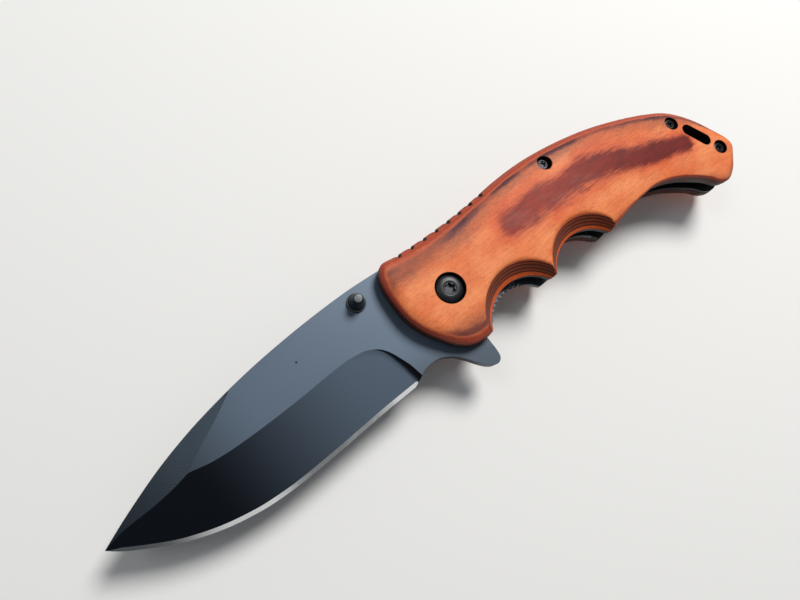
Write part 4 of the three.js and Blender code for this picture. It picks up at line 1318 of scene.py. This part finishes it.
def store_veneers(made, upright):
    points = local(made)
    x, y, z = points.T
    flat = points[:, :2]
    wander = STACK_WANDER * np.cos(2 * math.pi * (x + 5) / STACK_WAVE) + STACK_TILT * y
    crest = np.array(CREST)
    widths = open_spline(crest[:, [0, 2]], 6)[:, 1]
    gap, where = nearest(flat, open_spline(crest[:, :2], 6), closed=False)
    drums = [groove_height(flat, np.array(centre), radius, upright) for centre, radius in GROOVES]
    normals = np.zeros(len(points) * 3, np.float32)
    made.data.vertices.foreach_get("normal", normals)
    for name, values in {
        "ply": np.abs(z) - LINER_OUTSIDE + sag(x) - wander,
        "crest": gap / widths[where],
        "rim": nearest(flat, handle_line)[0],
        "wall": nearest(flat, handle_sheet(0))[0],
        "bore": hole_gap(x, y),
        "spineward": y - (top_edge(x) + low_edge(x)) / 2,
        "groove": np.abs(np.abs(z) - np.min(drums, axis=0)),
        "slope": 1 - np.abs(normals[2::3]),
    }.items():
        store(made, name, values)


print("maroon crest from", CREST[0][0], "to", CREST[-1][0], "mm behind the pivot")

# %% [markdown]
# With those numbers the finish is plain arithmetic. A colour ramp lays the veneers over the sawn walls by
# their height. The sanded top starts out orange, and the contour lines and the maroon rest are mixed over
# it. Fibres, pores and specks come from noise that is drawn out along the grain. Painted shade darkens the
# sawn walls, most on the rear scale, and the insides of the holes, the slot and the notches.

# %% Finish of the wood
ORANGE = paint(230, 118, 66)
PALE_ORANGE = paint(243, 147, 94)
TAN = paint(186, 96, 60)
PINK_BROWN = paint(186, 82, 60)
PLUM = paint(88, 40, 48)
GLUE = paint(54, 25, 15)
LOWEST_PLY = paint(206, 88, 36)
UNDER_PLY = paint(136, 58, 30)
RUSSET = paint(176, 80, 42)
MAROON = paint(92, 16, 12)
PALE_MAROON = paint(133, 28, 18)
RED_MAROON = paint(168, 54, 34)
FADED_MAROON = paint(162, 74, 60)
HALO = paint(204, 78, 48)
DUST = paint(158, 92, 82)
# Painted shade: the deep one on the rear scale's walls and in holes, the lighter one on the front walls.
DEEP_PAINTED_SHADE = paint(38, 24, 19)
WALL_PAINTED_SHADE = paint(66, 38, 26)
DARK_FIBRE = (0.52, 0.4, 0.34)
LIGHT_FIBRE = (1.3, 1.4, 1.5)
STACK_HEIGHT = 4.6
GLUE_LINES = (1.3, 2.05, 2.8, 3.5)
GLUE_WIDTH = 0.12


def stack_stops():
    """Colours up the stack of veneers, as (share of its height, colour) pairs."""
    plies = [LOWEST_PLY, UNDER_PLY, UNDER_PLY, UNDER_PLY, RUSSET]
    stops = [(0, plies[0])]
    for height, below, above in zip(GLUE_LINES, plies, plies[1:]):
        low, high = height - GLUE_WIDTH / 2, height + GLUE_WIDTH / 2
        stops += [(low - 0.12, below), (low, GLUE), (high, GLUE), (high + 0.16, above)]
    stops.append((STACK_HEIGHT, ORANGE))
    return [(height / STACK_HEIGHT, color) for height, color in stops]


class Wood:
    """What the wood's formulas read at each place: patterns of the grain, and the stored numbers."""

    def __init__(self, start):
        self.fibres = noise(start, (14, 1, 2), 0.3, 4, 0.65)
        self.pores = noise(start, (7, 1, 3), 0.13, 2)
        self.clouds = noise(start, (1.7, 1, 1), 8, 3)
        self.stains = noise(start, (1.6, 1, 1.4), 3.2, 5, 0.7, 0.3)
        self.specks = noise(start, (2.6, 1, 1), 0.5, 4, 0.7)
        self.patches = noise(start, (3, 1, 1), 2.2, 4, 0.6)
        self.blotches = noise(start, (1.6, 1, 1), 7, 2)
        self.x = from_pivot(start)
        for name in ("crest", "rim", "wall", "bore", "slope", "groove", "spineward"):
            setattr(self, name, stored(start, name))
        self.steep = self.slope.step(0.1, 0.3)
        ragged = (self.patches - 0.5) * 0.4 + (self.specks - 0.5) * 0.2
        self.ply = stored(start, "ply") + ragged * (1.1 - self.steep)


def top_veneer(w):
    """Orange, with tan clouds, a pinkish outer strip and plum contour lines along the edges."""
    top = w.clouds.step(0.35, 0.65).mix(ORANGE, PALE_ORANGE)
    top = (w.stains.step(0.45, 0.8) * 0.22).mix(top, TAN)
    outer = w.rim.step(7, 1) * w.ply.step(4.3, 3.2)
    top = (outer * w.x.step(-14, 2) * 0.28).mix(top, PINK_BROWN)
    lines = w.ply.step(3.05, 3.4) * w.ply.step(4, 3.55)
    lines = lines + w.ply.step(3.72, 3.9) * w.ply.step(4.12, 3.92) * 0.3
    at_nose = (w.spineward.step(4, 10) + w.spineward.step(-6, -11)) * w.x.step(14, 4) * 0.85
    lines = lines * (at_nose + w.spineward.step(-2, 3) * w.x.step(4, 14)).clamp()
    top = (lines * (w.clouds.step(0.3, 0.6) * 0.55 + 0.45)).clamp().mix(top, PLUM)
    top = (w.ply.step(3.35, 3.1) * 0.8).mix(top, PINK_BROWN)
    edge = (w.rim + (w.patches - 0.5) * 2).step(2.4, 0.6)
    return (edge * w.spineward.step(-2, -5) * w.x.step(86, 94) * 0.5).mix(top, PLUM)


def maroon_crest(w, top):
    """The last of a maroon veneer over the crest: a reddish halo, a feathered edge and light dust."""
    frayed = w.crest + (w.patches - 0.5) * 0.8 + (w.fibres - 0.5) * 0.9 + (w.clouds - 0.5) * 0.6
    deep = (w.patches * 0.9 + w.fibres * 0.8 - 0.45 + w.x.step(84, 30) * 0.3).clamp()
    pale = w.x.step(84, 40).mix(PALE_MAROON, w.blotches.step(0.38, 0.6).mix(RED_MAROON, FADED_MAROON))
    dust = w.specks.step(0.56, 0.7) * w.fibres.step(0.5, 0.64) * 0.33
    top = (frayed.step(2, 0.8) * 0.6).mix(top, HALO)
    return frayed.step(1.2, 0.55).mix(top, dust.mix(deep.mix(MAROON, pale), DUST))


def wood_finish():
    start = new_material("stained_laminated_wood", Specular_IOR_Level=0.2)
    w = Wood(start)
    under = (w.ply / STACK_HEIGHT).ramp(stack_stops())
    under = (w.groove.step(0.5, 1) * w.ply.step(1.2, 2.2) * 0.75).mix(under, PINK_BROWN)
    color = w.steep.maximum(w.ply.step(3.2, 2.9)).mix(maroon_crest(w, top_veneer(w)), under)
    dark = w.fibres.step(0.58, 0.32) * 0.25 + w.pores.step(0.42, 0.3) * 0.4 + w.specks.step(0.5, 0.3) * 0.35
    color = dark.clamp().mix(color, color.times(DARK_FIBRE))
    light = w.fibres.step(0.54, 0.72) * 0.25 + w.specks.step(0.54, 0.72) * 0.25
    color = light.mix(color, color.times(LIGHT_FIBRE))
    # Painted shade on the sawn walls, deepest on the rear scale, which faces the floor.
    wall_shade = from_pivot(start, "Z").step(-1, 1).mix(DEEP_PAINTED_SHADE, WALL_PAINTED_SHADE)
    color = (w.wall.step(0.12, 0.03) * w.ply.step(3.1, 2.6) * 0.9).mix(color, wall_shade)
    # Painted shade inside the holes, the slot and the notches.
    color = w.bore.step(0.16, 0.02).mix(color, DEEP_PAINTED_SHADE)
    return finish(start, color, 0.46 + w.fibres * 0.16, w.fibres * 0.6 + w.pores * 0.4, 0.35, 0.05)


print("veneers in the stack:", len(GLUE_LINES) + 1)

# %% [markdown]
# Five finishes share one blade. The flats are blasted before they are coated, so they scatter light and
# look blue grey; painted shade darkens them toward the point and on the flipper's side of the tang. The
# bevel and the swedge keep the fine lines of the grinding belt under the same coating and stay smoother.
# Painted shade darkens them toward the point, and the plunge is painted near black as shade. The
# sharpened edge is cut last, through the coating, into bare steel, with painted glints by the plunge and
# in the belly and painted shade toward the point. The narrow sides are coated too and nearly black. On the
# show side a pit in the coating is kept from the photograph.

# %% Finishes of the blade
FLAT_COAT = paint(93, 110, 129)
# Painted shade on the flats near the point.
FLAT_COAT_IN_PAINTED_SHADE = paint(52, 62, 73)
# The second colour of each pair is painted shade toward the point.
BEVEL_COAT_TO_PAINTED_SHADE = paint(86, 100, 116), paint(7, 13, 22)  # at the plunge and at the point
SWEDGE_COAT_TO_PAINTED_SHADE = paint(60, 71, 82), paint(34, 42, 50)
EDGE_COAT = paint(24, 28, 33)
# Painted shade in the plunge.
PLUNGE_PAINTED_SHADE = paint(12, 16, 24)
SHADED_STEEL = paint(66, 72, 76)
DULL_STEEL = paint(96, 102, 106)
# Painted glint on the sharpened edge.
PAINTED_GLINT_STEEL = paint(236, 238, 238)
LINE_PITCH = 0.48
SPECK_PLACE = (-41.5, 8.5)
SPECK_RADIUS = 0.3


def belt_lines(start, direction):
    """Fine lines across a direction: a wave that runs along it, broken up a little."""
    along = start.node("ShaderNodeVectorMath", {"operation": "DOT_PRODUCT"}, output="Value",
                       _0=start.place, _1=[d / (MM * LINE_PITCH) for d in direction])
    turns = (along + noise(start, (1, 1, 1), 1.7, 2) * 0.8) * (2 * math.pi)
    return turns.sine() * 0.5 + 0.5


def flat_coat_finish():
    start = new_material("coated_flats", Metallic=0.3)
    grain = noise(start, (1, 1, 1), 0.11, 2)
    cloud = noise(start, (2, 1, 1), 14, 2)
    # Painted shade: the flats darken toward the point, and on the flipper's side of the tang.
    tone = from_pivot(start).step(-54, -80).mix(FLAT_COAT, FLAT_COAT_IN_PAINTED_SHADE)
    tone = from_pivot(start, "Y").step(-3, -18).mix(tone, tone.times([0.58] * 3))
    away = start.node("ShaderNodeVectorMath", {"operation": "DISTANCE"}, output="Value",
                      _0=start.place, _1=PIVOT + Vector((*SPECK_PLACE, BLADE_FACE)) * MM)
    tone = away.step(SPECK_RADIUS * 1.3 * MM, SPECK_RADIUS * 0.7 * MM).mix(tone, EDGE_COAT)
    shade = ((cloud - 0.5) * 0.8 + (grain - 0.5) * 0.7 + 0.4).clamp()
    color = shade.mix(tone.times([0.84] * 3), tone)
    return finish(start, color, 0.46 + (grain - 0.5) * 0.15, grain, 0.25, 0.012)


def ground_coat_finish(name, coat_and_shade, direction, shade_fade, depth):
    """A ground and coated face: belt lines, painted shade that deepens toward the point, and a plunge painted
    dark as shade.
    """
    start = new_material(name, Metallic=0.3, Specular_IOR_Level=0.2)
    lines = belt_lines(start, direction)
    fine = noise(start, (1, 1, 1), 0.12, 2)
    # The tone darkens toward the point as painted shade.
    tone = from_pivot(start).step(*shade_fade).mix(*coat_and_shade)
    plain = from_pivot(start).step(-58, -30) * 0.75
    streak = (lines * 0.7 + fine * 0.3 - 0.5) * (1 - plain) + 0.5
    color = streak.clamp().mix(tone.times([1 - depth] * 3), tone.times([1 + depth] * 3))
    # The plunge is painted near black as shade.
    color = stored(start, "hollow").step(0, 0.6).mix(color, PLUNGE_PAINTED_SHADE)
    return finish(start, color, 0.32 + lines * 0.1, lines, 0.4, 0.01)


def side_coat_finish():
    """The coating on the blade's narrow sides."""
    start = new_material("coated_sides", Metallic=0.3)
    grain = noise(start, (1, 1, 1), 0.2, 3)
    color = grain.mix([0.6 * c for c in EDGE_COAT], EDGE_COAT)
    return finish(start, color, 0.42 + (grain - 0.5) * 0.2, grain, 0.3, 0.01)


def sharpened_finish():
    """Bare steel, with painted glints by the plunge and in the belly, and painted shade toward the point."""
    start = new_material("sharpened_edge", Metallic=0.2)
    scratches = noise(start, (0.6, 3, 1), 0.25, 3)
    glints = noise(start, (1, 1, 1), 6, 3, 0.6)
    x = from_pivot(start)
    belly_glint = x.step(-54, -66) * x.step(-92, -80)
    # Painted glints: by the plunge, along the belly and in random patches.
    painted_glint = (x.step(-38, -24) + belly_glint + (glints - 0.5) * 0.9).clamp()
    color = (painted_glint * 0.8 + scratches * 0.3).clamp().mix(DULL_STEEL, PAINTED_GLINT_STEEL)
    color = (x.step(-72, -88) * 0.8).mix(color, SHADED_STEEL)
    return finish(start, color, 0.3 + scratches * 0.2, scratches, 0.3, 0.01)


print("belt lines every", LINE_PITCH, "mm")

# %% [markdown]
# The rest of the steel is blackened or bare. Blackened heads wear to grey where hands and drivers touch
# them, so the thumb studs and the pivot keep a number for each point that lightens them toward bare steel.
# That number is wear and painted highlight together on the studs' tops and in the pivot's socket, and only a
# painted highlight on the rim of each stud's flange. Beside that, a noise lightens a few spots of every
# metal.

# %% Finishes of the hardware and sheets
WORN_AND_HIGHLIGHT_STEEL = paint(176, 186, 190)


def metal_finish(name, dark, light, roughness, metallic, grain_mm=0.3, stretch=(1, 1, 1), depth_mm=0.008):
    """A fine grain between two colours, with lighter spots, and places of wear and painted highlight."""
    start = new_material(name, Metallic=metallic)
    grain = noise(start, stretch, grain_mm, 3)
    wear = noise(start, (1, 1, 1), 1.6, 4, 0.6)
    color = ((grain - 0.5) * 0.8 + wear.step(0.5, 0.75)).clamp().mix(paint(*dark), paint(*light))
    # Lightens toward bare steel by the stored number: wear and painted highlight.
    color = (stored(start, "worn") * (grain * 0.6 + 0.6)).clamp().mix(color, WORN_AND_HIGHLIGHT_STEEL)
    return finish(start, color, roughness + (grain - 0.5) * 0.16, grain, 0.3, depth_mm)


wood = wood_finish()
blade_finishes = [
    flat_coat_finish(),
    ground_coat_finish("ground_bevel", BEVEL_COAT_TO_PAINTED_SHADE, (1, 0.02, 0), (-26, -76), 0.34),
    ground_coat_finish("ground_swedge", SWEDGE_COAT_TO_PAINTED_SHADE, (0.675, 0.72, 0), (-62, -92), 0.3),
    sharpened_finish(),
    side_coat_finish(),
]
black_hardware = metal_finish("black_hardware", (24, 26, 29), (52, 55, 59), 0.36, 0.6)
polished = metal_finish("polished_black", (22, 25, 29), (38, 42, 48), 0.38, 0.3, depth_mm=0.001)
blackened = metal_finish("blackened_steel", (20, 22, 26), (42, 46, 52), 0.5, 0.3, 0.5, (6, 1, 1))
lock_steel = metal_finish("spring_steel", (70, 76, 84), (150, 154, 158), 0.36, 0.85, 0.35, (1, 1, 4))
bare_pin = metal_finish("bare_pin", (120, 123, 126), (165, 167, 169), 0.3, 0.9)
bronze = metal_finish("bronze_washer", (150, 108, 58), (196, 150, 88), 0.4, 0.9)
spacer_black = metal_finish("black_spacer", (22, 22, 24), (38, 38, 40), 0.6, 0.0, 0.4)
print("finishes:", len(bpy.data.materials))

# %% [markdown]
# With shapes and finishes ready, the knife goes together as it would on the bench. Each piece stands for
# its node of the frame and rides on the body that carries it: the handle, the blade, or the lock bar.

# %% Assembly
def finish_screw(place, seat, shank_end, flip, name, node):
    finish_piece(screw_piece(place, seat, shank_end, flip), name, node, black_hardware)


for side, name in ((1, "front"), (-1, "rear")):
    rear = side < 0
    scale = scale_piece(name, clip_recess() if rear else ())
    store_veneers(scale, UPRIGHT[name])
    finish_piece(scale, f"{name}_wood_scale", f"{name}_scale", wood)
    finish_piece(liner_piece(side), f"{name}_steel_liner", f"{name}_liner", blackened)
    finish_piece(washer_piece(side), f"{name}_bronze_washer", f"{name}_washer", bronze)
    stud = stud_piece(rear)
    finish_piece(stud, f"{name}_stud", f"thumb_stud_{name}", polished, "blade")
    for key, place in SCREWS.items():
        node = f"{name}_{key}_screw"
        finish_screw(place, SCREW_SEAT, SHANK_END, rear, f"{node}_turned", node)

finish_piece(blade_piece(blade_finishes), "ground_blade", "blade", body="blade")
finish_piece(lock_bar_piece(), "toothed_lock_bar", "lock_bar", lock_steel, "lock")
finish_piece(backspacer_piece(), "fitted_backspacer", "backspacer", spacer_black)
pin = soften(rod(STOP_PIN, STOP_PIN_RADIUS, -LINER_OUTSIDE, LINER_OUTSIDE), 0.15)
finish_piece(pin, "turned_stop_pin", "stop_pin", bare_pin)
for flip, node in ((False, "pivot_screw"), (True, "pivot_barrel")):
    finish_piece(pivot_piece(flip), f"domed_{node}", node, polished)
finish_piece(clip_piece(), "bent_clip", "pocket_clip", blackened)
for i, place in enumerate(CLIP_SCREWS, 1):
    finish_screw(place, CLIP_SEAT + CLIP_THICKNESS, CLIP_SHANK_END, True,
                 f"clip_screw_{i}_turned", f"clip_screw_{i}")
